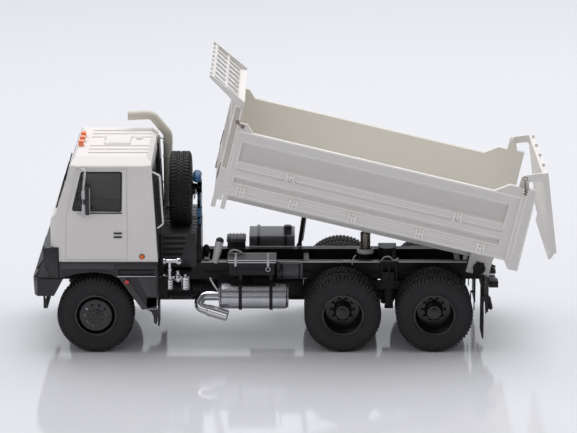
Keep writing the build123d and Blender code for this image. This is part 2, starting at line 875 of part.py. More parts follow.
def cab_body(inset):
    """The cab as one closed form, its faces moved inward by inset."""
    side = Polygon(*cab_side_points(), align=None)
    front = Polygon(*cab_front_points(), align=None)
    nose_x = cab_nose[0] - cab_nose_rise
    bow = ThreePointArc((nose_x + cab_bow, -cab_half_width), (nose_x, 0), (nose_x + cab_bow, cab_half_width))
    rest = Polyline((nose_x + cab_bow, cab_half_width), (cab_rear, cab_half_width),
                    (cab_rear, -cab_half_width), (nose_x + cab_bow, -cab_half_width))
    plan = make_face([bow, rest])
    plan = fillet(plan.vertices().group_by(Axis.X)[0], cab_corner)
    if inset:
        side = offset(side, -inset, kind=Kind.INTERSECTION)
        front = offset(front, -inset, kind=Kind.INTERSECTION)
        plan = offset(plan, -inset, kind=Kind.INTERSECTION)
    width = cab_half_width + cut_overrun
    body = extrude(Plane.XZ * side, width, both=True)
    body &= extrude(Plane.YZ * front, cab_rear - nose_x, both=True)
    body &= extrude(plan, cab_roof + cut_overrun, both=True)
    return body


def window_prisms(inset):
    """The window outlines as prisms, made smaller by inset: doors, windscreens, rear."""
    reach = cab_half_width + cut_overrun
    prisms = []
    for points in (door_window, windscreen, rear_window):
        outline = fillet(Polygon(*points, align=None).vertices(), window_corner)
        if inset:
            outline = offset(outline, -inset)
        if points is door_window:
            prisms.append(extrude(Plane.XZ * outline, reach, both=True))
        elif points is windscreen:
            back = screen_head[0] + cab_wall
            pane = extrude(Plane.YZ.offset(back) * outline, back - cab_nose[0] + cut_overrun, dir=(-1, 0, 0))
            prisms.append(both_sides(pane))
        else:
            rear = Plane.YZ.offset(cab_rear_top)
            prisms.append(extrude(rear * outline, cut_overrun, both=True))
    return prisms


def door_grooves():
    """The engraved door outline, a thin ring cut into both sides."""
    outer = Polygon(*door_outline, align=None)
    ring = outer - offset(outer, -groove_width, kind=Kind.INTERSECTION)
    reach = cab_half_width + cut_overrun
    return extrude(Plane.XZ * ring, reach, both=True)


def cab_shell(outer, inner):
    """The hollow cab: walls, window openings, door grooves, gutter and roof ribs."""
    shell = outer - inner
    for prism in window_prisms(0):
        shell -= prism
    shell -= (outer - cab_body(groove_depth)) & door_grooves()
    gutter = block((roof_front_x, cab_rear_top - roof_corner),
                   (-(cab_head_half_width + gutter_depth), -(cab_head_half_width - gutter_depth)),
                   (gutter_z, gutter_z + gutter_height)) - outer
    shell += both_sides(gutter)
    for y in roof_rib_ys:
        rib = block(roof_rib_x, (y - roof_rib_width / 2, y + roof_rib_width / 2),
                    (cab_roof, cab_roof + roof_rib_rise))
        shell += both_sides(rib)
    return shell


def window_seals():
    band = cab_body(-seal_proud) - cab_body(seal_depth)
    seals = Part()
    rings = zip(window_prisms(fit_gap), window_prisms(seal_width))
    for outer, inner in rings:
        seals += band & (outer - inner)
    bar_x = quarter_bar_x
    post = block(bar_x, (-cab_half_width - cut_overrun, cab_half_width + cut_overrun),
                 (door_window[0][1], door_window[1][1]))
    seals += band & post & window_prisms(seal_width)[0]
    return seals


def window_glass():
    sheet = cab_body(glass_inset) - cab_body(glass_inset + glass_thickness)
    post = block((quarter_bar_x[0] - fit_gap, quarter_bar_x[1] + fit_gap),
                 (-cab_half_width - cut_overrun, cab_half_width + cut_overrun), (cab_bottom, cab_roof))
    glass = Part()
    for prism in window_prisms(seal_width + fit_gap):
        glass += sheet & prism
    return glass - post


def seat(y):
    """A seat of base, cushion and back."""
    half = seat_width / 2
    floor = cab_bottom + cab_wall
    base = block((seat_x[0] + seat_base_inset, seat_x[1]),
                 (y - half + seat_base_inset, y + half - seat_base_inset), (floor, seat_z[0]))
    cushion = block(seat_x, (y - half, y + half), seat_z)
    back = block(seat_back_x, (y - half, y + half), (seat_z[0], seat_back_top))
    cushion = fillet(cushion.edges().filter_by(Axis.Y).group_by(Axis.X)[0], seat_corner)
    back = fillet(back.edges().filter_by(Axis.X).group_by(Axis.Z)[-1], seat_corner)
    return base + cushion + back


def cab_fittings():
    """Engine tunnel, bunk box and dashboard in one dark moulding."""
    floor = cab_bottom + cab_wall
    tunnel = block(tunnel_x, (-tunnel_half_width, tunnel_half_width), (floor, tunnel_top))
    bunk = block(bunk_x, (-dash_half_width, dash_half_width), (floor, bunk_z[1]))
    dash = block(dash_x, (-dash_half_width, dash_half_width), dash_z)
    dash = fillet(dash.edges().filter_by(Axis.Y).group_by(Axis.Z)[-1], seat_corner)
    stand = block((cab_notch[0] + cab_wall + fit_gap, tunnel_x[0]), (-tunnel_half_width, tunnel_half_width),
                  (cab_notch[1] + cab_wall, dash_z[0]))
    return tunnel + bunk + dash + stand


def steering_wheel():
    """Ring, spokes and column, tilted towards the driver's seat."""
    wheel = Torus(wheel_ring_radius, wheel_wire_radius)
    for i in range(spoke_count):
        spoke = bar((0, 0, 0), (wheel_ring_radius, 0, 0), wheel_wire_radius)
        wheel += Rot(0, 0, 360 * i / spoke_count) * spoke
    wheel += bar((0, 0, -column_length), (0, 0, wheel_wire_radius), column_radius)
    return Pos(*wheel_centre) * Rot(0, wheel_tilt_deg, 0) * wheel


def apron():
    """The dark band below the cab's nose, with lamp recesses and cooling slots."""
    outline = [(apron_front_x, apron_top), (apron_rear_x, apron_top), (apron_rear_x, apron_foot[1]),
               apron_foot, apron_fold]
    body = side_plate(outline, (-nose_half_width, nose_half_width))
    back = [(apron_front_x + apron_wall, apron_top - apron_wall), (cut_overrun, apron_top - apron_wall),
            (cut_overrun, apron_foot[1] + apron_wall), (apron_foot[0] + apron_wall, apron_foot[1] + apron_wall),
            (apron_fold[0] + apron_wall, apron_fold[1])]
    body -= side_plate(back, (-nose_half_width + apron_wall, nose_half_width - apron_wall))
    plan = block((apron_front_x, apron_rear_x), (-nose_half_width, nose_half_width), (0, cab_roof))
    plan = chamfer(plan.edges().filter_by(Axis.Z).group_by(Axis.X)[0], nose_corner, nose_corner / 2)
    body &= plan
    pitch = (apron_top - apron_fold[1]) / slot_count
    for i in range(slot_count - 1):
        z = apron_fold[1] + pitch * (i + 1) - slot_height
        body -= block((apron_front_x - cut_overrun, apron_front_x + slot_depth),
                      (-slot_half_width, slot_half_width), (z, z + slot_height))
    return body - both_sides(headlamp_recess()) - rail_notches()


def headlamp_recess():
    y = (-headlamp_y[1], -headlamp_y[0])
    return block((apron_front_x - cut_overrun, apron_fold[0] + headlamp_depth), y, headlamp_z)


def headlamp():
    """The left lamp, seated in its recess and a little proud of it."""
    x = (apron_fold[0] - headlamp_proud, apron_fold[0] + headlamp_depth)
    y = (fit_gap - headlamp_y[1], -headlamp_y[0] - fit_gap)
    z = (headlamp_z[0] + fit_gap, headlamp_z[1] - fit_gap)
    lens = block(x, y, z)
    return fillet(lens.edges().group_by(Axis.X)[0], headlamp_proud)


def bumper():
    """A channel with slanted ends and a step bar under each end."""
    outline = [(bumper_front_x, bumper_top), (bumper_foot_x, bumper_bottom),
               (bumper_rear_x[1], bumper_bottom), (bumper_rear_x[0], bumper_top)]
    body = side_plate(outline, (-nose_half_width, nose_half_width))
    plan = block((bumper_front_x, bumper_rear_x[0]), (-nose_half_width, nose_half_width), (0, cab_roof))
    plan = chamfer(plan.edges().filter_by(Axis.Z).group_by(Axis.X)[0], nose_corner, nose_corner / 2)
    body &= plan
    hollow_y = nose_half_width - bumper_wall
    body -= block((bumper_foot_x + bumper_wall, cut_overrun), (-hollow_y, hollow_y),
                  (bumper_bottom + bumper_wall, bumper_top - bumper_wall))
    legs = Part()
    for y in step_bar_y:
        legs += block((step_bar_x, step_bar_x + step_bar_thickness), (-y, -y + step_bar_thickness),
                      (bumper_bottom - step_bar_drop, bumper_bottom))
    tread = block((step_bar_x, step_bar_x + 2 * step_bar_thickness),
                  (-step_bar_y[1], -step_bar_y[0] + step_bar_thickness),
                  (bumper_bottom - step_bar_drop, bumper_bottom - step_bar_drop + step_bar_thickness))
    return body - rail_notches() + both_sides(legs + tread)


def fender():
    """The left fender: skirt, wheel arch and the step panel behind the wheel."""
    top = cab_bottom - fit_gap
    outline = [(cab_notch[0], top), (fender_rear_x, top), (fender_rear_x, fender_foot_z), *arch_points]
    body = side_plate(outline, fender_y)
    recess = block(step_recess_x, (fender_y[0] - cut_overrun, fender_y[0] + step_recess_depth), step_recess_z)
    return body - recess


def mirror_set():
    """The left mirror on its bent arm."""
    arm = bent_bar([(mirror_x - mirror_housing[0], -(cab_half_width - cab_wall), mirror_top),
                    (mirror_x, -mirror_y, mirror_top), (mirror_x, -mirror_y, mirror_foot),
                    (mirror_x - mirror_housing[1], -(cab_half_width - cab_wall), mirror_foot)],
                   mirror_arm_radius, mirror_arm_bend)
    housing = Box(*mirror_housing)
    housing = fillet(housing.edges().filter_by(Axis.X), mirror_housing_corner)
    return arm + Pos(mirror_x, -mirror_y, mirror_housing_z) * housing


def wiper(y):
    """A wiper from its spindle up the glass."""
    foot = (screen_foot[0] - wiper_lift, y, screen_foot[1])
    tip = [a + (b - a) * wiper_length_share for a, b in zip(screen_foot, screen_head)]
    return bar(foot, (tip[0] - 2 * wiper_lift, y - wiper_lean, tip[1]), wiper_radius)


def roof_lamps():
    lamps = Part()
    for y in roof_lamp_ys:
        lamp = Box(*roof_lamp_size, align=(Align.MIN, Align.CENTER, Align.MIN))
        lamp = fillet(lamp.edges().filter_by(Axis.X).group_by(Axis.Z)[-1], roof_lamp_corner)
        lamps += Pos(roof_front_x, y, cab_roof) * lamp
    return lamps


def side_lamps():
    """An orange lamp on the cab's skirt and a red one on the step panel."""
    lamps = []
    for (x, z), y in zip(side_lamp_spots, (cab_half_width, -fender_y[0])):
        lamps.append(both_sides(bar((x, -y, z), (x, -y - side_lamp_depth, z), side_lamp_radius)))
    return lamps


def door_handles():
    bars = Part()
    for z in handle_zs:
        bars += block(handle_x, (-cab_half_width - handle_proud, -cab_half_width), (z, z + handle_height))
    return both_sides(bars)


def roof_hatch():
    hatch = block(hatch_x, (-hatch_half_width, hatch_half_width), (cab_roof, cab_roof + hatch_rise))
    return fillet(hatch.edges().filter_by(Axis.Z) + hatch.edges().group_by(Axis.Z)[-1], hatch_rise / 2)


def grab_rail():
    """The left rail on the cab's rear edge."""
    y = -grab_rail_y
    low, high = grab_rail_z
    return bent_bar([(cab_rear_top, y, high), (cab_rear + grab_rail_standoff, y, high - grab_rail_turn),
                     (cab_rear + 2 * grab_rail_standoff, y, low + grab_rail_turn),
                     (cab_rear - fit_gap, y, low)],
                    grab_rail_radius, grab_rail_bend)


def snorkel():
    """The air intake behind the cab's right side, open at its tip."""
    route = [(x, snorkel_y, z) for x, z in snorkel_route]
    return bent_pipe(route, snorkel_radius, snorkel_wall, snorkel_bend)


def write_cab():
    outer = cab_body(0)
    write("cab_shell", cab_shell(outer, cab_body(cab_wall)) + roof_hatch())
    write("window_seals", window_seals())
    write("window_glass", window_glass())
    write("cab_interior", cab_fittings() + steering_wheel() + [seat(y) for y in seat_ys])
    write("nose_apron", apron())
    write("headlamps", both_sides(headlamp()))
    write("bumper", bumper())
    write("fenders", both_sides(fender()))
    write("mirrors", both_sides(mirror_set()) - outer)
    write("wipers_and_handles", door_handles() + [both_sides(wiper(y)) for y in wiper_ys])
    orange, red = side_lamps()
    write("lamps_orange", roof_lamps() + orange)
    write("lamps_red", both_sides(rear_lamp()) + red)
    write("grab_rails", both_sides(grab_rail()) - outer)
    write("snorkel", snorkel())


# Behind the cab and on the frame's sides


def engine_housing():
    """The louvred housing behind the cab, hollowed to let the spare wheel sit over it."""
    body = block(housing_x, housing_y, housing_z)
    body -= bar((housing_x[0] - cut_overrun, 0, spare_z), (housing_x[1] + cut_overrun, 0, spare_z),
                tyre_radius + moving_gap)
    for i in range(louvre_count):
        z = housing_z[1] - louvre_pitch * (i + 1)
        body -= block(louvre_x, (housing_y[0] - cut_overrun, housing_y[0] + louvre_depth),
                      (z, z + louvre_height))
    return body


def spare_carrier():
    """A post on the frame behind the spare wheel, with the bolt that holds it."""
    x = (housing_x[1] + fit_gap, housing_x[1] + fit_gap + post_thickness)
    post = block(x, (-post_half_width, post_half_width), (post_foot_top, post_top))
    foot = block(x, (-post_foot_half_width, post_foot_half_width), (rail_z[1], post_foot_top))
    bolt = bar((spare_x + bead + front_hub_rise, 0, spare_z), (x[0], 0, spare_z), carrier_bolt_radius)
    return post + foot + bolt


def winch():
    """The small winch on the post that lets the spare wheel down."""
    x = housing_x[1] + fit_gap + post_thickness - winch_radius
    z = post_top + winch_radius
    drum = bar((x, -winch_half_length, z), (x, winch_half_length, z), winch_radius)
    return drum


def valve_cluster():
    """A tee of pipe with two ribbed canisters under it."""
    z = valve_pipe_z
    pipe = bar((canister_xs[0] - canister_radius, valve_y, z), (canister_xs[1], valve_y, z),
               valve_pipe_radius)
    for x in canister_xs:
        pipe += bar((x, valve_y, canister_z[0]), (x, valve_y, canister_z[1]), canister_radius)
        pipe += bar((x, valve_y, canister_z[1]), (x, valve_y, z), valve_pipe_radius)
        for low in spread(canister_z[0] + canister_rib_height, canister_z[1] - 2 * canister_rib_height,
                          canister_rib_count):
            pipe += bar((x, valve_y, low), (x, valve_y, low + canister_rib_height),
                        canister_radius + canister_rib_depth)
    return pipe


def side_brackets():
    """Arms that carry the valve cluster, battery box, muffler and tank from the rails."""
    arms = block(valve_bracket_x, (valve_y + canister_radius + canister_rib_depth + fit_gap, -rail_outer_y),
                 valve_bracket_z)
    for x in strap_xs:
        half = strap_width / 2
        arms += block((x - half, x + half), (battery_y[0] + strap_width, -rail_outer_y), bracket_z)
        arms += block((x - half, x + half), (rail_outer_y, tank_y[0]), bracket_z)
    return arms


def straps():
    """Bands round the muffler, hung from the brackets above it."""
    bands = Part()
    outer = muffler_radius + fit_gap + strap_thickness
    for x in strap_xs:
        half = strap_width / 2
        ring = bar((x - half, muffler_y, muffler_z), (x + half, muffler_y, muffler_z), outer)
        ring += block((x - half, x + half), (muffler_y + strap_width, muffler_y + 3 * strap_width),
                      (muffler_z, bracket_z[1]))
        ring -= bar((x - cut_overrun, muffler_y, muffler_z), (x + cut_overrun, muffler_y, muffler_z),
                    muffler_radius + fit_gap)
        bands += ring
    return bands


def battery_box():
    low, high = battery_z
    box = block(battery_x, battery_y, (low, high - battery_lid))
    box = fillet(box.edges().filter_by(Axis.Z), battery_corner)
    lid = block((battery_x[0] - strap_thickness, battery_x[1] + strap_thickness),
                (battery_y[0] - strap_thickness, battery_y[1] + strap_thickness),
                (high - battery_lid, high))
    return box + lid


def muffler():
    ends = [(0, 0), (muffler_radius - muffler_dish, 0), (muffler_radius, muffler_dish),
            (muffler_radius, muffler_x[1] - muffler_x[0] - muffler_dish),
            (muffler_radius - muffler_dish, muffler_x[1] - muffler_x[0]), (0, muffler_x[1] - muffler_x[0])]
    return Pos(muffler_x[0], muffler_y, muffler_z) * Rot(0, 90, 0) * turned(ends)


def fuel_tank():
    """The tank on the right, with its filler cap."""
    tank = block(tank_x, tank_y, tank_z)
    tank = fillet(tank.edges().filter_by(Axis.X), tank_corner)
    cap = bar((tank_cap_x, tank_cap_y, tank_z[1]), (tank_cap_x, tank_cap_y, tank_z[1] + tank_cap_height),
              tank_cap_radius)
    return tank + cap


def air_tank():
    return bar((air_tank_x[0], air_tank_y, air_tank_z), (air_tank_x[1], air_tank_y, air_tank_z),
               air_tank_radius)


def filler_pipe():
    """The hydraulic oil filler beside the left rail, with its cap."""
    low, high = filler_z
    place = Pos(filler_x, filler_y, low)
    pipe = Cone(filler_radii[0], filler_radii[1], high - low, align=(Align.CENTER, Align.CENTER, Align.MIN))
    return place * pipe


def filler_cap():
    return bar((filler_x, filler_y, filler_z[1]), (filler_x, filler_y, filler_z[1] + filler_cap_height),
               filler_cap_radius)


def pump_box():
    """The hydraulic pump's box, on a foot that lies across both rails."""
    box = block(pump_box_x, (-pump_box_half_width, pump_box_half_width), (rail_z[1], pump_box_top))
    box = fillet(box.edges().filter_by(Axis.Z), battery_corner)
    return box + block(pump_box_x, (-rail_outer_y, rail_outer_y), (rail_z[1], rail_z[1] + pump_box_foot))


def write_side_pieces():
    write("engine_housing", engine_housing())
    write("spare_carrier", spare_carrier())
    write("spare_winch", winch())
    write("valve_cluster", valve_cluster())
    write("side_brackets", side_brackets() + straps())
    write("frame_boxes", battery_box() + pump_box())
    write("muffler", muffler())
    write("tailpipe", bent_pipe(tailpipe_route, tailpipe_radius, tailpipe_wall, tailpipe_bend))
    write("tanks", fuel_tank() + air_tank())
    write("filler_pipe", filler_pipe() + filler_cap())


# Bed, drawn lowered


def tipped(shape):
    """Tip a piece of the lowered bed about the bed's pivot."""
    return Pos(pivot_x, 0, pivot_z) * Rot(0, bed_tilt_deg, 0) * Pos(-pivot_x, 0, -pivot_z) * shape


def hinge_pair(x, z):
    """Two knuckles side by side on the left board."""
    pair = Part()
    for side in (-1, 1):
        start = x + side * hinge_gap / 2
        pair += bar((start, -bed_half_width, z), (start + side * hinge_length, -bed_half_width, z),
                    hinge_radius)
    return pair


def side_board():
    """The left board: pressed panels between its rails, hinges, ears and the rear post."""
    inner, outer = -board_inner_y, -bed_half_width
    sunk = outer + panel_recess
    height = bed_top - bed_bottom
    rail_low = bed_top - top_rail_share * height
    rib_high = bed_top - upper_panel_share * height
    rib_low = bed_top - mid_rib_share * height
    groove = (rib_high + rib_low) / 2
    sill = bed_floor_z + bottom_rail_height
    section = [(inner, bed_floor_z), (inner, bed_top), (outer, bed_top), (outer, rail_low),
               (sunk, rail_low - panel_recess), (sunk, rib_high + panel_recess), (outer, rib_high),
               (outer, groove + rib_groove), (outer + rib_groove_depth, groove),
               (outer, groove - rib_groove), (outer, rib_low), (sunk, rib_low - panel_recess),
               (sunk, sill + panel_recess), (outer, sill), (outer, bed_floor_z)]
    board = front_plate(section, (bed_front_x, bed_rear_x))
    for x in ((bed_front_x, bed_front_x + end_strip[0]), (bed_rear_x - end_strip[1], bed_rear_x)):
        board += block(x, (outer, inner), (bed_floor_z, bed_top))
    for x in mid_hinge_xs:
        board += hinge_pair(x, groove)
    ear = side_plate([(bed_front_x, bed_top), (bed_front_x, bed_top + ear_rise),
                      (bed_front_x + ear_length / 2, bed_top + ear_rise), (bed_front_x + ear_length, bed_top)],
                     (outer, inner))
    rear_ear = side_plate([(bed_rear_x - rear_ear_length, bed_top),
                           (bed_rear_x - rear_ear_length / 2, bed_top + rear_ear_rise),
                           (bed_rear_x, bed_top + rear_ear_rise), (bed_rear_x, bed_top)], (outer, inner))
    post = side_plate(rear_post, (-post_outer_y, inner))
    reach = gate_arm_height / 2
    gate_ear = side_plate([(bed_rear_x, rear_post[0][1]), (gate_pivot_x - reach, bed_top + rear_ear_rise),
                           (gate_pivot_x - reach, gate_pivot_z), (gate_pivot_x, gate_pivot_z + reach),
                           (gate_pivot_x + reach, gate_pivot_z), (gate_pivot_x + 2 * reach, rear_post[0][1])],
                          (-gate_ear_y[1], -gate_ear_y[0]))
    pin = bar((gate_pivot_x, -gate_ear_y[0], gate_pivot_z), (gate_pivot_x, -gate_arm_y[1], gate_pivot_z),
              gate_pin_radius)
    return board + ear + rear_ear + post + gate_ear + pin


def bed_floor():
    """Floor plate with a raised sheet between the boards, edge beams and cross beams."""
    edge = bed_half_width
    top = bed_floor_z
    plate = block((bed_front_x, bed_rear_x), (-edge, edge), (top - floor_plate, top))
    beam = block((bed_front_x, bed_rear_x), (-edge, -board_inner_y), (bed_bottom, top))
    for x in low_hinge_xs:
        beam += hinge_pair(x, top - hinge_radius)
    beam += block((beam_leg_x, beam_leg_x + leg_length), (-edge, -board_inner_y), (leg_bottom, bed_bottom))
    sheet = board_inner_y - floor_sheet_gap
    plate += block((bed_front_x + floor_sheet_gap, bed_rear_x - floor_sheet_gap), (-sheet, sheet),
                   (top - floor_plate, top + floor_sheet))
    floor = plate + both_sides(beam)
    for x in spread(*cross_beam_x, cross_beam_count):
        floor += block((x - cross_beam_width, x + cross_beam_width / 2), (-board_inner_y, board_inner_y),
                       (cross_beam_bottom, top - floor_plate))
    return floor


def bed_subframe():
    """Two long beams, the brackets that straddle the pivot tube and the cylinder's lugs."""
    beam = block(beam_x, (-beam_y[1], -beam_y[0]), (beam_bottom, cross_beam_bottom))
    slot_radius = pivot_radius + fit_gap * 2
    low = pivot_z - pivot_leg
    half = pivot_bracket_half_length
    bracket = block((pivot_x - half, pivot_x + half), (-pivot_bracket_y[1], -pivot_bracket_y[0]),
                    (low, cross_beam_bottom))
    bracket -= bar((pivot_x, -pivot_bracket_y[1] - cut_overrun, pivot_z), (pivot_x, 0, pivot_z), slot_radius)
    bracket -= block((pivot_x - slot_radius, pivot_x + slot_radius), (-pivot_bracket_y[1] - cut_overrun, 0),
                     (low - cut_overrun, pivot_z))
    eye_x, eye_z = lowered_eye()
    lug = block((eye_x - eye_lug_half_length, eye_x + eye_lug_half_length), (-eye_lug_y[1], -eye_lug_y[0]),
                (eye_z - eye_lug_drop, bed_floor_z - floor_plate))
    return both_sides(beam) + both_sides(bracket) + both_sides(lug)


def lowered_eye():
    """Where the cylinder's eye lies in the lowered bed's frame."""
    turn = math.radians(bed_tilt_deg)
    x = trunnion_x - pivot_x
    z = trunnion_z + eye_height - pivot_z
    return (pivot_x + x * math.cos(turn) - z * math.sin(turn),
            pivot_z + x * math.sin(turn) + z * math.cos(turn))


def headboard():
    """Front board with posts, rails and upright ribs."""
    back = bed_front_x
    plate_x = (back - head_plate, back)
    rib_x = (head_front_x, back - head_plate)
    edge = bed_half_width
    inner = edge - head_post_width
    board = block(plate_x, (-inner, inner), (head_foot_z, head_top))
    post = block((head_front_x, back), (-edge, -inner), (head_post_bottom, head_top))
    leg = block((head_front_x, head_front_x + leg_length), (-edge, -inner), (leg_bottom, head_post_bottom))
    board += both_sides(post + leg)
    high = head_top - head_rail_height
    for z in (head_foot_z, bed_floor_z + head_rail_height, bed_top - head_rail_height, high):
        board += block(rib_x, (-inner, inner), (z, z + head_rail_height))
    for y in spread(-inner, inner, head_rib_count + 2)[1:-1]:
        board += block(rib_x, (y - head_rib_width / 2, y + head_rib_width / 2), (head_foot_z, head_top))
    return board


def cab_guard():
    """The slatted guard that leans over the cab from the headboard."""
    edge = bed_half_width
    side = side_plate(guard_side, (-edge, -edge + guard_side_thickness))
    guard = both_sides(side)
    for y in spread(-edge, edge, guard_slat_count + 2)[1:-1]:
        guard += side_plate(guard_slat, (y - guard_slat_width / 2, y + guard_slat_width / 2))
    (foot_x, foot_z), (tip_x, tip_z), (_, tip_top), (_, foot_top) = guard_slat
    slope = (tip_z - foot_z) / (tip_x - foot_x)
    for x in guard_bar_xs:
        low = foot_z + slope * (x - foot_x)
        run = guard_bar_length
        deep = foot_top - foot_z
        guard += side_plate([(x, low), (x + run, low + slope * run), (x + run, low + slope * run + deep),
                             (x, low + deep)], (-edge + guard_side_thickness, edge - guard_side_thickness))
    guard += block((head_front_x, bed_front_x), (-edge, edge), (head_top, head_top + foot_top - foot_z))
    return guard


def bed_prop():
    """The safety prop that hangs beside the right rail, with its stay."""
    foot = (prop_foot_x, prop_y, prop_foot_z)
    head = (prop_head_x, prop_y, cross_beam_bottom + prop_radius)
    prop = bar(foot, head, prop_radius)
    prop += bar((foot[0], prop_y, foot[2] - prop_foot_length), foot, prop_foot_radius)
    prop += bar((prop_foot_x - prop_radius, prop_y, stay_z), (stay_x, prop_y, stay_z), stay_radius)
    prop += bar((stay_x, prop_y, stay_z - stay_radius), (stay_x, prop_y, cross_beam_bottom), prop_radius)
    above = block((prop_head_x - cut_overrun, stay_x + cut_overrun), (0, prop_y + cut_overrun),
                  (cross_beam_bottom, bed_floor_z))
    return prop - above


def write_bed():
    write("bed_side_left", tipped(side_board()))
    write("bed_side_right", tipped(other_side(side_board())))
    write("bed_floor", tipped(bed_floor()))
    write("bed_subframe", tipped(bed_subframe()))
    write("bed_headboard", tipped(headboard() + cab_guard()))
    write("bed_prop", tipped(bed_prop()))


# Tailgate


def tailgate():
    """The closed tailgate: plate, rails, ribs, a turned-in lip between the posts and the arms."""
    x = (gate_inner_x, gate_inner_x + gate_plate)
    rib = (gate_inner_x + gate_plate, gate_outer_x)
    width = gate_half_width
    height = gate_top - gate_bottom
    gate = block(x, (-width, width), (gate_bottom, gate_top))
    between_posts = board_inner_y - moving_gap
    gate += side_plate([(gate_inner_x, gate_bottom), (gate_outer_x, gate_bottom),
                        (gate_lip_x + gate_plate, gate_lip_z), (gate_lip_x, gate_lip_z)], (-between_posts, between_posts))
    for share in gate_rail_zs_share:
        z = gate_bottom + share * (height - gate_rail_height)
        gate += block(rib, (-width, width), (z, z + gate_rail_height))
    for share in gate_rib_xs_share:
        y = share * width
        gate += block(rib, (y - gate_rib_width / 2, y + gate_rib_width / 2), (gate_bottom, gate_top))
    pivot, z = gate_pivot_x, gate_pivot_z
    reach = gate_arm_height / 2
    arm = block((pivot, gate_inner_x), (-gate_arm_y[1], -gate_arm_y[0]), (z - reach, z + reach))
    arm += bar((pivot, -gate_arm_y[1], z), (pivot, -gate_arm_y[0], z), reach)
    arm -= bar((pivot, -gate_arm_y[1] - cut_overrun, z), (pivot, 0, z), gate_pin_radius + gate_pin_gap)
    return gate + both_sides(arm)


def ajar(shape):
    """Swing the closed tailgate open about its pivot."""
    there, back = Pos(gate_pivot_x, 0, gate_pivot_z), Pos(-gate_pivot_x, 0, -gate_pivot_z)
    return there * Rot(0, -gate_open_deg, 0) * back * shape


# Telescopic cylinder, upright at its trunnion


def barrel():
    bore = stage_radius + slide_gap
    tube = turned([(0, barrel_low), (barrel_radius, barrel_low), (barrel_radius, barrel_high),
                   (bore, barrel_high), (bore, barrel_low + barrel_floor), (0, barrel_low + barrel_floor)])
    pin = bar((0, -trunnion_half_length, 0), (0, -stage_radius - slide_gap - barrel_floor / 2, 0),
              trunnion_radius)
    return tube + both_sides(pin)


def stage():
    bore = rod_radius + slide_gap
    return turned([(bore, stage_low), (stage_radius, stage_low), (stage_radius, stage_low + stage_length),
                   (bore, stage_low + stage_length)])


def rod():
    """The inner rod with its eye and the pin stubs that the bed's lugs flank."""
    shaft = bar((0, 0, rod_low), (0, 0, eye_height), rod_radius)
    eye = bar((0, -eye_half_width, eye_height), (0, eye_half_width, eye_height), eye_radius)
    reach = eye_half_width + eye_pin_reach
    pin = bar((0, -reach, eye_height), (0, reach, eye_height), eye_pin_radius)
    return shaft + eye + pin


def write_cylinder():
    place = Pos(trunnion_x, 0, trunnion_z)
    write("cylinder_barrel", place * barrel())
    write("cylinder_stage", place * stage())
    write("cylinder_rod", place * rod())


write_wheels()
write_drive()
write_frame()
write_cab()
write_side_pieces()
write_bed()
write("tailgate", tipped(ajar(tailgate())))
write_cylinder()
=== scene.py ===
# Looks of the 1:43 scale model of a three-axle tipper lorry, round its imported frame.
# Places are written in millimetres as in the frame's own plan: x is counted rearward from
# the front axle, y from the middle plane (the left side is negative) and z from the ground.
import json
import math

import bmesh
import bpy
from mathutils import Matrix, Vector

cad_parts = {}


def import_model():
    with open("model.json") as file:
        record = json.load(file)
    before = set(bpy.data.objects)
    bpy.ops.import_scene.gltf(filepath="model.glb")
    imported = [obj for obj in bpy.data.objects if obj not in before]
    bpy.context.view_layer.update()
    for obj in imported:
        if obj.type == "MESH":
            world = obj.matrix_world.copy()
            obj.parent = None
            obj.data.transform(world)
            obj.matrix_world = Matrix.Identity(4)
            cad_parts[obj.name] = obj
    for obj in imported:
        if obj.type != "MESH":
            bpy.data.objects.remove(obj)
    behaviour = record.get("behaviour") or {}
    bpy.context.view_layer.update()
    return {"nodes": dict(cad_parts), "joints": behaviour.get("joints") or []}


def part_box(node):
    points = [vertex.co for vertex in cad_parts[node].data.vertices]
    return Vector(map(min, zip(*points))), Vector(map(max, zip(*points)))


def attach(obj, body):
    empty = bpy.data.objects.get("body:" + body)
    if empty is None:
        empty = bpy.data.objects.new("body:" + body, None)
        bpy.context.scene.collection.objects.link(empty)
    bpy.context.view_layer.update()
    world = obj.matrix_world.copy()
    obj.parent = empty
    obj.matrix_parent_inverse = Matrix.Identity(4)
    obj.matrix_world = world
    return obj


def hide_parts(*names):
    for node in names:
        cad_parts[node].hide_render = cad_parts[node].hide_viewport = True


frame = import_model()

MM = 0.001


def middle(node):
    low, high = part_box(node)
    return (low + high) / 2


FRONT_AXLE = middle("tyre_front_left").x
AXLE_Z = middle("tyre_front_left").z / MM
AXLES = ("front", "middle", "rear")
AXLE_XS = [(middle(f"tyre_{axle}_left").x - FRONT_AXLE) / MM for axle in AXLES]
WHEELS = [f"{axle}_{side}" for axle in AXLES for side in ("left", "right")]
JOINTS = {joint["name"]: joint for joint in frame["joints"]}
PIVOT = Vector(JOINTS["bed_tilt"]["pos_m"])
BED_TILT = math.radians(-JOINTS["bed_tilt"]["range_deg"][0])
GATE_OPEN = math.radians(-JOINTS["tailgate"]["range_deg"][0])
GATE_PIVOT = Vector(JOINTS["tailgate"]["pos_m"])


def at(x, y, z):
    """A place on the truck, in metres in the frame."""
    return Vector((x * MM + FRONT_AXLE, y * MM, z * MM))


def near(value, half):
    """The limits of a strip about its middle."""
    return (value - half, value + half)


def about(pivot, turn):
    """A turn about +Y at a pivot."""
    return Matrix.Translation(pivot) @ Matrix.Rotation(turn, 4, "Y") @ Matrix.Translation(-pivot)


TIPPED = about(PIVOT, BED_TILT)
AJAR = about(GATE_PIVOT, -GATE_OPEN) @ TIPPED


# Camera, floor and light

CAMERA_AIM = at(64.4, 0, 39.7)
CAMERA_DISTANCE = 1.0
CAMERA_ELEVATION = math.radians(14.5)
CAMERA_LENS = 182.8
CAMERA_SENSOR = 36.0


def added(name, data):
    """A new object in the scene."""
    obj = bpy.data.objects.new(name, data)
    bpy.context.scene.collection.objects.link(obj)
    return obj


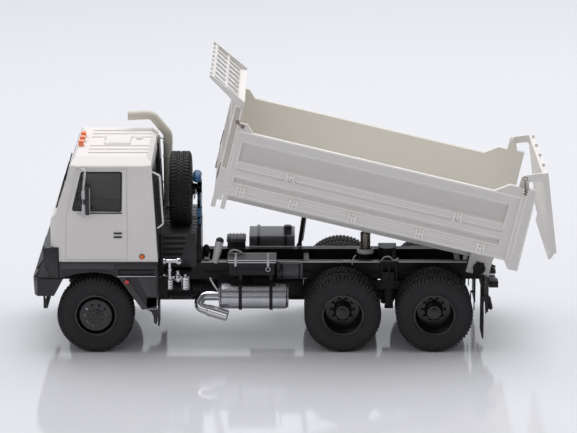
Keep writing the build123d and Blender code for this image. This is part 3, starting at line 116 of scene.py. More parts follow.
def camera():
    """The photo's view, from far off to the left and a little above."""
    data = bpy.data.cameras.new("camera")
    data.lens = CAMERA_LENS
    data.sensor_width = CAMERA_SENSOR
    data.clip_start = 0.05
    data.clip_end = 20
    obj = added("camera", data)
    back = Vector((0, -math.cos(CAMERA_ELEVATION), math.sin(CAMERA_ELEVATION)))
    obj.location = CAMERA_AIM + back * CAMERA_DISTANCE
    obj.rotation_euler = (-back).to_track_quat("-Z", "Y").to_euler()
    bpy.context.scene.camera = obj


def area_light(name, place, size, power, color):
    data = bpy.data.lights.new(name, "AREA")
    data.shape = "RECTANGLE"
    data.size, data.size_y = size
    data.energy = power
    data.color = color
    obj = added(name, data)
    obj.location = place
    obj.rotation_euler = (place - LAMP_AIM).to_track_quat("Z", "Y").to_euler()


BACKDROP = (0.775, 0.805, 0.845)
TABLE_COLOR = (0.72, 0.74, 0.79)
TABLE_HALF_M = 3.0
TABLE_ROUGHNESS = 0.07
SKY_COLOR = (0.98, 0.95, 0.94)
SKY_STRENGTH = 0.42
LAMP_AIM = at(60, 0, 30)
# Each lamp's place from its aim in metres, its size, its power in watts and its colour.
LAMPS = {
    "top": ((0, 0.28, 0.87), (1.2, 0.9), 8.8, (1.0, 0.985, 0.975)),
    "front": ((-0.5, -1.0, 0.5), (0.9, 0.7), 1.65, (1, 1, 1)),
    "rear": ((0.9, 0.6, 0.5), (0.7, 0.7), 2.0, (1, 1, 1)),
}


def fill(shader, values):
    """Sets values on a shader's sockets."""
    for socket, value in values.items():
        shader.inputs[socket].default_value = value


def floor():
    """A glossy pale table that runs into a plain pale background."""
    half = TABLE_HALF_M
    mesh = bpy.data.meshes.new("floor")
    mesh.from_pydata([(-half, -half, 0), (half, -half, 0), (half, half, 0), (-half, half, 0)], [],
        [(0, 1, 2, 3)])
    obj = added("floor", mesh)
    material = bpy.data.materials.new("floor_gloss")
    material.use_nodes = True
    fill(material.node_tree.nodes["Principled BSDF"],
         {"Base Color": (*TABLE_COLOR, 1), "Roughness": TABLE_ROUGHNESS, "Specular IOR Level": 0.6})
    mesh.materials.append(material)


def node(tree, kind, values=None, **settings):
    """A shader node with its settings and with values on its sockets."""
    made = tree.nodes.new("ShaderNode" + kind)
    for name, value in settings.items():
        setattr(made, name, value)
    fill(made, values or {})
    return made


def join(tree, *pairs):
    for output, socket in pairs:
        tree.links.new(output, socket)


def world():
    """Soft light all round; mirrors see it dark on the side of the camera, as in a photo studio."""
    studio_world = bpy.data.worlds.new("studio")
    bpy.context.scene.world = studio_world
    studio_world.use_nodes = True
    tree = studio_world.node_tree
    light = tree.nodes["Background"]
    fill(light, {"Color": (*SKY_COLOR, 1), "Strength": SKY_STRENGTH})
    seen = node(tree, "Background", {"Color": (*BACKDROP, 1)})
    dim = node(tree, "Background", {"Color": (*BACKDROP, 1)})
    around = node(tree, "TexCoord")
    side = node(tree, "SeparateXYZ")
    fade = node(tree, "MapRange", {"From Min": -0.5, "From Max": 0.1, "To Min": 0.12})
    mirrored = node(tree, "MixShader")
    path = node(tree, "LightPath")
    glossy = node(tree, "Math", operation="MAXIMUM")
    both = node(tree, "Math", operation="MAXIMUM")
    mix = node(tree, "MixShader")
    join(tree, (around.outputs["Generated"], side.inputs[0]), (side.outputs["Y"], fade.inputs["Value"]),
         (fade.outputs["Result"], dim.inputs["Strength"]),
         (path.outputs["Is Camera Ray"], glossy.inputs[0]), (path.outputs["Is Glossy Ray"], glossy.inputs[1]),
         (glossy.outputs[0], both.inputs[0]), (path.outputs["Is Transmission Ray"], both.inputs[1]),
         (both.outputs[0], mix.inputs[0]), (light.outputs[0], mix.inputs[1]),
         (path.outputs["Is Glossy Ray"], mirrored.inputs[0]), (seen.outputs[0], mirrored.inputs[1]),
         (dim.outputs[0], mirrored.inputs[2]), (mirrored.outputs[0], mix.inputs[2]),
         (mix.outputs[0], tree.nodes["World Output"].inputs["Surface"]))


def studio():
    """Camera, table, surroundings and three lamps."""
    camera()
    floor()
    world()
    for name, (offset, size, power, color) in LAMPS.items():
        area_light(name, LAMP_AIM + Vector(offset), size, power, color)
    bpy.context.scene.view_settings.view_transform = "Standard"


# Materials


DUST = (0.42, 0.40, 0.37)


def surface(color, rough, metallic=0.0, coat=0.0, mottle=0.04, mottle_mm=6.0,
            grain=0.05, grain_mm=0.35, dust=0.0, specular=0.5):
    """A finish with slow colour variation, fine grain in its gloss and height, and dust on its tops."""
    material = bpy.data.materials.new("finish")
    material.use_nodes = True
    tree = material.node_tree
    shader = tree.nodes["Principled BSDF"]
    fill(shader, {"Metallic": metallic, "Coat Weight": coat, "Coat Roughness": 0.08,
                  "Specular IOR Level": specular})
    bsdf = shader.inputs
    place = node(tree, "TexCoord").outputs["Object"]
    slow = node(tree, "TexNoise", {"Scale": 1 / (mottle_mm * MM), "Detail": 4})
    dark = [max(0.0, c * (1 - mottle)) for c in color]
    light = [min(1.0, c * (1 + mottle)) for c in color]
    shade = node(tree, "Mix", {6: (*dark, 1), 7: (*light, 1)}, data_type="RGBA")
    join(tree, (place, slow.inputs["Vector"]), (slow.outputs["Fac"], shade.inputs[0]))
    last = dusted(tree, shade.outputs[2], slow, dust) if dust else shade.outputs[2]
    fine = node(tree, "TexNoise", {"Scale": 1 / (grain_mm * MM), "Detail": 3})
    gloss = node(tree, "MapRange", {"To Min": max(0.02, rough - grain), "To Max": min(1.0, rough + grain)})
    bump = node(tree, "Bump", {"Strength": min(1.0, 2 * grain), "Distance": 0.02 * MM})
    join(tree, (last, bsdf["Base Color"]), (place, fine.inputs["Vector"]),
         (fine.outputs["Fac"], gloss.inputs["Value"]), (gloss.outputs["Result"], bsdf["Roughness"]),
         (fine.outputs["Fac"], bump.inputs["Height"]), (bump.outputs["Normal"], bsdf["Normal"]))
    return material


def dusted(tree, color, patches, amount):
    """Pale dust where a surface looks up, broken up by the slow noise."""
    geometry = node(tree, "NewGeometry")
    up = node(tree, "SeparateXYZ")
    lift = node(tree, "MapRange", {"From Min": 0.3, "To Max": amount})
    strength = node(tree, "Math", operation="MULTIPLY")
    mix = node(tree, "Mix", {7: (*DUST, 1)}, data_type="RGBA")
    join(tree, (geometry.outputs["Normal"], up.inputs[0]), (up.outputs["Z"], lift.inputs["Value"]),
         (lift.outputs["Result"], strength.inputs[0]), (patches.outputs["Fac"], strength.inputs[1]),
         (strength.outputs[0], mix.inputs[0]), (color, mix.inputs[6]))
    return mix.outputs[2]


def glass(tint):
    """Thin dark window plastic that lets some light through."""
    material = surface(tint, 0.02, grain=0.0, mottle=0.02)
    fill(material.node_tree.nodes["Principled BSDF"], {"Alpha": 0.28, "Coat Weight": 0.6})
    return material


def lens(color):
    """Moulded lamp plastic with a ribbed surface."""
    material = surface(color, 0.12, coat=0.8, mottle=0.12, mottle_mm=0.6, grain=0.02)
    fill(material.node_tree.nodes["Principled BSDF"],
         {"Subsurface Weight": 0.15, "Subsurface Scale": 0.4 * MM})
    return material


M = {
    "cab_white": surface((0.79, 0.77, 0.765), 0.5, mottle=0.015, grain=0.03, specular=0.08),
    "bed_white": surface((0.77, 0.75, 0.735), 0.42, mottle=0.02, mottle_mm=9.0, grain=0.06),
    # A darker copy of the bed's paint, for painted shade in the side boards' sunken panels.
    "bed_panel_shade": surface((0.67, 0.645, 0.635), 0.42, mottle=0.03, mottle_mm=9.0, grain=0.06),
    # A paint lighter than the bed's, for painted highlights along its edges, frames and hinges.
    "bed_edge_highlight": surface((0.93, 0.915, 0.89), 0.40, mottle=0.02, grain=0.05),
    "bed_beige": surface((0.76, 0.745, 0.695), 0.50, mottle=0.03, mottle_mm=12.0, grain=0.06),
    "chassis": surface((0.012, 0.010, 0.013), 0.36, mottle=0.15, grain=0.08, dust=0.01, specular=0.35),
    "black_plastic": surface((0.024, 0.023, 0.026), 0.40, mottle=0.1, grain=0.08, dust=0.05),
    "grey_plastic": surface((0.055, 0.051, 0.056), 0.42, mottle=0.08, grain=0.08),
    "interior": surface((0.035, 0.03, 0.032), 0.55, mottle=0.1, grain=0.1),
    "rubber": surface((0.021, 0.021, 0.023), 0.62, mottle=0.18, mottle_mm=2.0, grain=0.1,
                      dust=0.06, specular=0.35),
    "rim_black": surface((0.014, 0.013, 0.015), 0.24, coat=0.3, mottle=0.1, grain=0.05),
    "glass": glass((0.10, 0.10, 0.10)),
    "lamp_clear": lens((0.75, 0.78, 0.80)),
    "lamp_orange": lens((0.86, 0.17, 0.03)),
    "lamp_red": lens((0.55, 0.035, 0.03)),
    "silver": surface((0.60, 0.60, 0.63), 0.24, metallic=1.0, mottle=0.06, mottle_mm=5.0, grain=0.03,
                      grain_mm=1.2),
    "chrome": surface((0.72, 0.72, 0.74), 0.12, metallic=1.0, mottle=0.05, mottle_mm=2.0, grain=0.04),
    "steel": surface((0.30, 0.26, 0.22), 0.28, metallic=0.9, mottle=0.15, mottle_mm=2.0, grain=0.08),
    "tank_grey": surface((0.085, 0.085, 0.095), 0.38, mottle=0.08, grain=0.08, dust=0.08),
    "intake_beige": surface((0.60, 0.585, 0.52), 0.45, mottle=0.03, grain=0.05),
    "pipe_grey": surface((0.58, 0.58, 0.60), 0.38, mottle=0.08, grain=0.08),
    "post_shade": surface((0.60, 0.565, 0.52), 0.5, mottle=0.04, grain=0.05),
    "latch_brown": surface((0.22, 0.16, 0.13), 0.4, metallic=0.4, mottle=0.15, grain=0.05),
    # Light grey painted along upper edges of black parts as painted highlights.
    "edge_highlight_grey": surface((0.80, 0.79, 0.80), 0.35, mottle=0.1, grain=0.05),
    "blue": surface((0.05, 0.16, 0.34), 0.35, mottle=0.15, mottle_mm=1.0, grain=0.06),
}
for name, material in M.items():
    material.name = name

NODE_MATERIALS = {
    "cab_white": ["cab_shell", "grab_rails"],
    "bed_white": ["bed_side_left", "bed_side_right", "bed_headboard", "bed_floor", "bed_subframe", "tailgate"],
    "chassis": ["axle_front", "axles_rear", "backbone_tube", "knuckle_left", "knuckle_right", "bed_prop",
                "frame_rail_left", "frame_rail_right", "crossmembers", "rear_crossmember", "bogie_springs",
                "cylinder_barrel", "side_brackets", "spare_carrier", "frame_boxes"],
    "black_plastic": ["nose_apron", "bumper", "fenders", "window_seals", "wipers_and_handles",
                      "engine_housing"],
    "grey_plastic": ["mirrors"],
    "interior": ["cab_interior"],
    "rubber": ["mudflaps", "tyre_spare"] + [f"tyre_{wheel}" for wheel in WHEELS],
    "rim_black": ["rim_spare"] + [f"rim_{wheel}" for wheel in WHEELS],
    "glass": ["window_glass"],
    "lamp_clear": ["headlamps"],
    "lamp_orange": ["lamps_orange"],
    "lamp_red": ["lamps_red"],
    "silver": ["muffler"],
    "chrome": ["valve_cluster", "tailpipe"],
    "steel": ["cylinder_stage", "cylinder_rod"],
    "tank_grey": ["tanks"],
    "intake_beige": ["snorkel"],
    "pipe_grey": ["filler_pipe"],
    "blue": ["spare_winch"],
}


def dress_nodes():
    """Gives every node of the frame its finish."""
    for finish, nodes in NODE_MATERIALS.items():
        for name in nodes:
            mesh = frame["nodes"][name].data
            mesh.materials.clear()
            mesh.materials.append(M[finish])


# Mesh building

SMOOTH_DEG = 38.0
EDGE = 0.08
UP = (0, 0, 1)
BACK, AHEAD = (1, 0, 0), (-1, 0, 0)
RIGHT, LEFT = (0, 1, 0), (0, -1, 0)


class Piece:
    """Simple forms gathered into one mesh that rides on one body, in its usual finish or one of their own."""

    def __init__(self, name, slot, finish, body="chassis", place=None):
        self.name, self.body, self.slot, self.finish = name, body, slot, finish
        self.mesh = bmesh.new()
        self.place = place or Matrix.Identity(4)
        self.finishes = []

    def _index(self, finish):
        if finish not in self.finishes:
            self.finishes.append(finish)
        return self.finishes.index(finish)

    def form(self, points, faces, bevel=0.0, finish=None):
        """Adds a closed form from places on the truck."""
        verts = [self.mesh.verts.new(self.place @ at(*point)) for point in points]
        made = [self.mesh.faces.new([verts[i] for i in face]) for face in faces]
        index = self._index(finish or self.finish)
        for face in made:
            face.material_index = index
        bmesh.ops.recalc_face_normals(self.mesh, faces=made)
        if bevel:
            edges = dict.fromkeys(edge for face in made for edge in face.edges if edge.is_manifold
                                  and edge.calc_face_angle() > math.radians(SMOOTH_DEG))
            bmesh.ops.bevel(self.mesh, geom=list(edges), offset=bevel * MM, segments=2, profile=0.6,
                affect="EDGES", clamp_overlap=True, material=-1)

    def box(self, x, y, z, bevel=EDGE, finish=None):
        points = [(a, b, c) for c in z for b in y for a in x]
        faces = [(0, 1, 3, 2), (4, 5, 7, 6), (0, 1, 5, 4), (2, 3, 7, 6), (0, 2, 6, 4), (1, 3, 7, 5)]
        self.form(points, faces, bevel, finish)

    def prism(self, outline, y, bevel=EDGE, finish=None):
        """An outline in x and z with a thickness in y."""
        low, high = ([(x, side, z) for x, z in outline] for side in y)
        self.between(low, high, bevel, finish)

    def between(self, low, high, bevel=0.0, finish=None):
        """A closed form between two outlines with as many points."""
        n = len(low)
        faces = [tuple(range(n)), tuple(range(n, 2 * n))]
        faces += [(i, (i + 1) % n, n + (i + 1) % n, n + i) for i in range(n)]
        self.form(low + high, faces, bevel, finish)

    def lathe(self, centre, axis, profile, sides=24, finish=None):
        """A closed body of revolution from (radius, height) pairs along an axis."""
        up = Vector(axis).normalized()
        side = up.orthogonal().normalized()
        other = up.cross(side)
        points, rings = [], []
        for radius, height in profile:
            base = Vector(centre) + up * height
            if radius < 1e-6:
                rings.append([len(points)])
                points.append(tuple(base))
                continue
            rings.append(list(range(len(points), len(points) + sides)))
            for i in range(sides):
                turn = 2 * math.pi * i / sides
                points.append(tuple(base + (side * math.cos(turn) + other * math.sin(turn)) * radius))
        faces = []
        loop = list(zip(rings, rings[1:]))
        if len(rings[0]) > 1 and len(rings[-1]) > 1:
            loop.append((rings[-1], rings[0]))
        for low, high in loop:
            for i in range(sides):
                j = (i + 1) % sides
                if len(low) == 1:
                    faces.append((low[0], high[i], high[j]))
                elif len(high) == 1:
                    faces.append((low[i], low[j], high[0]))
                else:
                    faces.append((low[i], low[j], high[j], high[i]))
        self.form(points, faces, finish=finish)

    def bar(self, start, end, radius, sides=14, lip=0.0, finish=None):
        """A round bar with softened ends."""
        run = Vector(end) - Vector(start)
        soft = lip or min(0.12, radius / 3)
        profile = [(0, 0), (radius - soft, 0), (radius, soft), (radius, run.length - soft),
            (radius - soft, run.length), (0, run.length)]
        self.lathe(start, run, profile, sides, finish)

    def ring(self, centre, axis, radius, wire, sides=40, finish=None, round_sides=8):
        """A round wire bent to a ring about an axis."""
        profile = [(radius + wire * math.cos(2 * math.pi * i / round_sides),
            wire * math.sin(2 * math.pi * i / round_sides)) for i in range(round_sides)]
        self.lathe(centre, axis, profile, sides, finish)

    def ball(self, centre, radius, sides=12, flat=1.0, finish=None):
        steps = max(4, sides // 2)
        profile = [(radius * math.sin(math.pi * i / steps),
            -radius * flat * math.cos(math.pi * i / steps)) for i in range(steps + 1)]
        profile[0] = (0, -radius * flat)
        profile[-1] = (0, radius * flat)
        self.lathe(centre, UP, profile, sides, finish)

    def pipe(self, points, radius, sides=10, steps=5, finish=None):
        """A round tube along a smooth line through the points."""
        line = smooth_line([Vector(point) for point in points], steps)
        rings, verts = [], []
        normal = (line[1] - line[0]).orthogonal().normalized()
        for i, spot in enumerate(line):
            ahead = line[min(i + 1, len(line) - 1)] - line[max(i - 1, 0)]
            ahead.normalize()
            normal = (normal - ahead * normal.dot(ahead)).normalized()
            other = ahead.cross(normal)
            rings.append(list(range(len(verts), len(verts) + sides)))
            for k in range(sides):
                turn = 2 * math.pi * k / sides
                verts.append(tuple(spot + (normal * math.cos(turn) + other * math.sin(turn)) * radius))
        faces = [tuple(rings[0]), tuple(rings[-1])]
        for low, high in zip(rings, rings[1:]):
            faces += [(low[k], low[(k + 1) % sides], high[(k + 1) % sides], high[k]) for k in range(sides)]
        self.form(verts, faces, finish=finish)

    def mirrored(self):
        """Repeats everything made so far on the other side of the middle plane."""
        geometry = self.mesh.verts[:] + self.mesh.edges[:] + self.mesh.faces[:]
        copy = bmesh.ops.duplicate(self.mesh, geom=geometry)["geom"]
        verts = [item for item in copy if isinstance(item, bmesh.types.BMVert)]
        faces = [item for item in copy if isinstance(item, bmesh.types.BMFace)]
        for vert in verts:
            vert.co.y = -vert.co.y
        bmesh.ops.reverse_faces(self.mesh, faces=faces)
        return self

    def done(self, *replaced):
        """Makes the object, shades it, and hangs it on its body."""
        for face in self.mesh.faces:
            face.smooth = True
        for edge in self.mesh.edges:
            if edge.is_manifold and edge.calc_face_angle() > math.radians(SMOOTH_DEG):
                edge.smooth = False
        data = bpy.data.meshes.new(self.name)
        self.mesh.to_mesh(data)
        self.mesh.free()
        for finish in self.finishes:
            data.materials.append(M[finish])
        obj = added(self.name, data)
        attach(obj, self.body)
        if replaced:
            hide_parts(*replaced)


def smooth_line(points, steps):
    """A rounded line through points, by Catmull and Rom's spline."""
    if len(points) == 2:
        return points
    line = []
    for i in range(len(points) - 1):
        before = points[max(i - 1, 0)]
        start, end = points[i], points[i + 1]
        after = points[min(i + 2, len(points) - 1)]
        for k in range(steps):
            t = k / steps
            line.append(0.5 * (2 * start + (end - before) * t
                               + (2 * before - 5 * start + 4 * end - after) * t * t
                               + (3 * start - before - 3 * end + after) * t ** 3))
    line.append(points[-1])
    return line


# Wheels

TYRE_RADIUS = 12.9
LUG_COUNT = 62
LUG_TURN = 2 * math.pi / LUG_COUNT
CARCASS = ((7.15, 3.2), (7.35, 3.42), (7.75, 3.45), (7.8, 3.55), (8.2, 3.62), (8.25, 3.56), (9.2, 3.68),
           (10.2, 3.69), (10.75, 3.62), (10.8, 3.68), (11.05, 3.66), (11.1, 3.55), (11.6, 3.44), (12.0, 3.25),
           (12.28, 2.75), (12.36, 1.4), (12.36, 0.0))
SHOULDER_LUG = ((12.9, 1.82), (12.9, 2.78), (12.72, 3.02), (12.25, 3.4), (11.55, 3.6), (11.5, 3.4),
                (12.1, 3.0), (12.25, 1.82))
BLOCK_ROWS = ((0.62, 0.98, 0.5), (1.32, 0.62, 0.0))


def tyre_tread(piece, centre_y):
    """One tyre with its lugs and blocks, its middle at centre_y from the wheel's own middle."""
    outline = [(r, y) for r, y in CARCASS] + [(r, -y) for r, y in reversed(CARCASS[:-1])]
    piece.lathe((0, centre_y, 0), RIGHT, outline, sides=96)
    for i in range(LUG_COUNT):
        for side in (1, -1):
            shift = 0.5 if side < 0 else 0.0
            shoulder_lug(piece, centre_y, side, (i + shift) * LUG_TURN)
            for y, width, phase in BLOCK_ROWS:
                tread_block(piece, centre_y + side * y, width, (i + shift + phase) * LUG_TURN)


def circle(count, radius, phase=0.0):
    """Evenly spaced places on a circle, the first one up when the phase is zero."""
    turns = [2 * math.pi * (i + phase) / count for i in range(count)]
    return [(radius * math.sin(turn), radius * math.cos(turn)) for turn in turns]


def on_tyre(radius, turn, y):
    return (radius * math.sin(turn), y, radius * math.cos(turn))


def shoulder_lug(piece, centre_y, side, turn):
    """A slanted lug over the tyre's shoulder."""
    half = LUG_TURN * 0.31
    skew = LUG_TURN * 0.16
    low, high = [], []
    for radius, y in SHOULDER_LUG:
        lean = skew * (y - SHOULDER_LUG[0][1])
        low.append(on_tyre(radius, turn - half + lean, centre_y + side * y))
        high.append(on_tyre(radius, turn + half + lean, centre_y + side * y))
    piece.between(low, high)


def tread_block(piece, y, width, turn):
    """A lozenge between the shoulders."""
    half_turn = LUG_TURN * 0.36
    corners = [(-half_turn, -width * 0.14), (0, -width / 2), (half_turn, -width * 0.2),
        (half_turn, width * 0.14), (0, width / 2), (-half_turn, width * 0.2)]
    low = [on_tyre(TYRE_RADIUS - 0.6, turn + t, y + v) for t, v in corners]
    high = [on_tyre(TYRE_RADIUS, turn + t * 0.9, y + v * 0.9) for t, v in corners]
    piece.between(low, high)


def wheel_place(axle_x, side_y, height, turn):
    """From a wheel's own frame, its outer side towards +y, to its place on the truck."""
    origin = at(axle_x, side_y, height) - at(0, 0, 0)
    shift = Matrix.Translation(at(0, 0, 0))
    return Matrix.Translation(origin) @ shift @ turn @ shift.inverted()


FLIP = Matrix.Rotation(math.pi, 4, "Z")
FRONT_Y = abs(middle("tyre_front_left").y) / MM
TWIN_Y = abs(middle("tyre_middle_left").y) / MM
TWIN_HALF = 4.25
SPARE = middle("tyre_spare")


def front_rim_details(piece):
    """Nuts, hub cap and flange of a front wheel, on its disc."""
    face = 3.2
    for x, z in circle(10, 2.62, 0.5):
        piece.lathe((x, face - 0.02, z), RIGHT, [(0, 0), (0.3, 0), (0.26, 0.22), (0.12, 0.34), (0, 0.34)], 6)
    piece.lathe((0, face + 0.56, 0), RIGHT, [(0, 0), (1.5, 0), (1.5, 0.12), (1.2, 0.3), (1.1, 0.3),
        (1.05, 0.18), (0.6, 0.18), (0.5, 0.36), (0, 0.42)], 28)
    piece.ring((0, face + 0.02, 0), RIGHT, 7.0, 0.17, 64)
    piece.ring((0, face - 0.1, 0), RIGHT, 4.75, 0.12, 48)
    piece.bar((4.9, face - 0.3, 0.6), (5.9, face + 0.1, 0.75), 0.12, 8)


def rear_rim_details(piece):
    """Nuts, hub flange and caps of a twin wheel, in its deep dish."""
    skin, hub_end, flange = 0.35, 4.35, TWIN_HALF + 3.2
    for x, z in circle(10, 3.75, 0.5):
        piece.lathe((x, skin - 0.02, z), RIGHT, [(0, 0), (0.52, 0), (0.52, 0.5), (0.36, 0.75), (0.3, 1.3),
            (0, 1.3)], 10)
    piece.lathe((0, skin, 0), RIGHT, [(2.75, 0), (3.15, 0), (3.15, 0.35), (2.85, 0.7), (2.75, 0.7)], 36)
    for height in (1.5, 2.9):
        piece.ring((0, height, 0), RIGHT, 2.72, 0.1, 36)
    piece.lathe((0, hub_end - 0.04, 0), RIGHT, [(0, 0), (1.75, 0), (1.7, 0.16), (1.25, 0.22), (1.2, 0.42),
        (0.55, 0.5), (0, 0.5)], 28)
    for x, z in circle(8, 2.1):
        piece.lathe((x, hub_end - 0.04, z), RIGHT, [(0, 0), (0.2, 0), (0.18, 0.14), (0, 0.16)], 6)
    for height in (flange + 0.02, flange - 6.35):
        piece.ring((0, height, 0), RIGHT, 7.0, 0.17, 64)
    piece.bar((5.6, flange - 3.0, 1.8), (6.0, flange - 0.6, 1.95), 0.13, 8)


def wheels():
    """Treads for all tyres and bolted details for all rims but the spare's."""
    for side, sign in (("left", -1), ("right", 1)):
        flip = FLIP if sign < 0 else Matrix.Identity(4)
        for axle, x in zip(AXLES, AXLE_XS):
            front = axle == "front"
            place = wheel_place(x, sign * (FRONT_Y if front else TWIN_Y), AXLE_Z, flip)
            wheel = f"{axle}_{side}"
            tyre = Piece(f"tyre_{wheel}_tread", "tyre_rubber", "rubber", f"wheel_{wheel}", place)
            for centre in ((0,) if front else (-TWIN_HALF, TWIN_HALF)):
                tyre_tread(tyre, centre)
            tyre.done(f"tyre_{wheel}")
            rim = Piece(f"rim_{wheel}_nuts", "rim_paint", "rim_black", f"wheel_{wheel}", place)
            (front_rim_details if front else rear_rim_details)(rim)
            rim.done()
    turn = Matrix.Rotation(math.radians(-90), 4, "Z")
    place = wheel_place((SPARE.x - FRONT_AXLE) / MM, 0, SPARE.z / MM, turn)
    spare = Piece("tyre_spare_tread", "tyre_rubber", "rubber", place=place)
    tyre_tread(spare, 0)
    spare.done("tyre_spare")


# Cab


def cab_mirrors():
    """Twin-headed mirrors on bent arms."""
    heads = Piece("mirror_heads", "dark_plastic", "black_plastic")
    heads.box((-2.6, -1.2), (-33.2, -29.9), (48.6, 57.9), 0.4)
    heads.box((-3.3, -2.5), (-32.6, -30.4), (52.2, 53.8), 0.15)
    heads.mirrored().done("mirrors")
    arms = Piece("mirror_arms", "pipe_grey", "pipe_grey")
    arms.pipe([(-4.6, -28.0, 63.1), (-3.2, -30.4, 63.5), (-2.6, -31.5, 63.0), (-2.8, -31.5, 60.5),
        (-3.1, -31.5, 57.0), (-3.2, -31.5, 48.6), (-3.5, -30.8, 47.9), (-5.8, -28.0, 47.8)], 0.38, 12)
    for low, high in ((48.5, 52.1), (53.9, 56.7)):
        arms.box((-3.75, -2.58), (-32.6, -30.4), (low, high), 0.25)
    arms.box((-1.24, -1.12), (-32.9, -30.2), (49.1, 57.4), 0.04)
    arms.mirrored().done()


def round_nuts(piece, spots, axis, radius, finish=None):
    """Small six-sided nuts, each at one of the spots."""
    for spot in spots:
        piece.lathe(spot, axis, [(0, 0), (radius, 0), (radius * 0.9, radius * 0.7), (0, radius * 0.8)], 6,
            finish)


def cab_dark_trim():
    """Sill, lamp rims, wheel arch lips, the steps behind the front wheels and the nose's gussets."""
    trim = Piece("cab_dark_trim", "dark_plastic", "black_plastic")
    trim.box((-3.0, 9.3), (-28.95, -28.5), (48.05, 48.4), 0.06)
    trim.box((-11.4, 6.4), (-29.14, -28.9), (29.2, 31.1), finish="grey_plastic")
    trim.box((7.4, 20.6), (-29.14, -28.9), (29.3, 31.1))
    trim.prism([(15.7, 15.2), (8.3, 25.7), (9.4, 26.5), (10.3, 26.2), (17.6, 15.4)], (-29.2, -28.9),
        finish="grey_plastic")
    trim.prism([(7.9, 25.9), (5.2, 27.5), (-0.5, 28.2), (-6.0, 27.7), (-11.8, 26.0), (-11.8, 26.7),
        (-6.1, 28.4), (-0.5, 28.9), (5.5, 28.2), (8.6, 26.4)], (-29.12, -28.9), 0.04)
    trim.prism([(14.1, 26.2), (20.4, 26.2), (20.4, 19.6), (17.4, 19.6)], (-29.16, -28.9), finish="grey_plastic")
    trim.box((16.9, 20.55), (-29.0, -24.4), (15.4, 19.4), 0.2)
    for y in (-28.4, -27.2, -26.0, -24.8):
        trim.box((8.2, 19.4), near(y, 0.18), (26.7, 26.95), 0.03)
    trim.prism([(16.0, 15.2), (17.2, 15.0), (18.6, 14.2), (19.3, 12.6), (19.4, 10.5), (19.8, 10.0),
        (20.3, 10.0), (20.6, 11.0), (20.75, 12.6), (20.7, 15.2)], (-28.9, -27.7), 0.1)
    trim.ring((15.7, -28.66, 33.3), RIGHT, 0.86, 0.12, 28, finish="grey_plastic")
    trim.ring((10.6, -29.12, 24.7), RIGHT, 0.95, 0.2, 28)
    gusset = [(-16.9, 31.1), (-20.6, 25.9), (-15.0, 25.9)]
    trim.prism(gusset, (-26.6, -25.6), finish="grey_plastic")
    trim.prism([(-16.6, 31.0), (-19.3, 25.9), (-15.0, 25.9)], (-28.5, -26.6), finish="grey_plastic")
    trim.box((-20.0, -10.8), (-29.22, -28.95), (25.25, 25.75))
    trim.prism([(-17.25, 37.2), (-16.9, 36.3), (-12.2, 36.2), (-12.2, 26.1), (-13.0, 26.1), (-15.6, 29.0),
        (-17, 32)], (-29.1, -28.5), 0.06)
    trim.box((7.8, 20.3), (-28.1, -27.7), (25.9, 28.4), 0.06)
    trim.prism([(-12.9, 26.1), (-12.2, 26.1), (-12.2, 36.3), (-12.7, 36.3)], (-29.15, -28.9), 0.05)
    for y in (-24.9, -17.1):
        trim.box((-17.25, -16.7), near(y, 0.2), (28.2, 33.8), 0.05)
    for z in (28.3, 33.7):
        trim.box((-17.25, -16.7), (-25.1, -16.9), near(z, 0.2), 0.05)
    round_nuts(trim, [(x, -29.1, 30.2) for x in (-9.5, -4.5, 0.5, 5.5, 9.0, 13.0, 19.0)], LEFT, 0.22)
    round_nuts(trim, [(x, -29.12, 21.2) for x in (-19, -15)], LEFT, 0.28)
    trim.mirrored()
    trim.prism(gusset, (-16, 16), finish="grey_plastic")
    for y in (-12, -6, 0, 6, 12):
        trim.prism([(-17.1, 31.2), (-20.7, 26.1), (-20.3, 25.95), (-16.9, 31.0)], near(y, 0.25), 0.04)
    trim.done()


def cab_light_trim():
    """Silver strips on the step edges as painted highlights, roof fittings, headlamp rings and the domes of the
    side lamps.
    """
    # Painted highlights: thin silver strips on the steps' lips and corners.
    edges = Piece("cab_step_highlight_strips", "silver_paint", "silver")
    edges.box((7.4, 20.4), (-29.25, -28.85), (26.5, 26.8), 0.05)
    edges.box((17.2, 20.5), (-29.15, -28.9), (15.2, 15.45), 0.04)
    edges.bar((20.5, -29.0, 15.3), (20.75, -29.0, 18.6), 0.1, 8)
    edges.mirrored().done()
    roof = Piece("cab_roof_fittings", "cab_paint", "cab_white")
    roof.box((12.6, 14.8), (2.6, 4.8), (65.9, 66.5), 0.15)
    roof.lathe((13.7, 3.7, 66.4), UP, [(0, 0), (0.7, 0), (0.6, 0.4), (0, 0.5)], 18)
    roof.box((3.4, 10.1), (-5, 5), (66.75, 66.9), 0.06)
    for y in (-3.4, 3.4):
        roof.box((2.0, 2.9), near(y, 0.7), (65.95, 66.5), 0.1)
    for y in (-6.5, 0, 6.5):
        roof.box((-6.25, -4.2), near(y, 1.7), (65.9, 66.15), 0.06)
    roof.done()
    rings = Piece("headlamp_rings", "lamp_clear", "lamp_clear")
    for y in (-23.0, -19.1):
        rings.ring((-17.02, y, 31.0), BACK, 1.6, 0.13, 32)
        rings.lathe((-16.9, y, 31.0), AHEAD, [(0, 0), (1.1, 0), (0.8, 0.2), (0, 0.28)])
    rings.mirrored().done()
    for name, finish, place in (("side_lamp_domes", "lamp_orange", (15.7, -29.05, 33.3)),
                                ("fender_lamp_domes", "lamp_red", (10.6, -29.45, 24.7))):
        dome = Piece(name, finish, finish)
        dome.lathe(place, LEFT, [(0, 0), (0.7, 0), (0.5, 0.16), (0, 0.22)], 20)
        dome.mirrored().done()


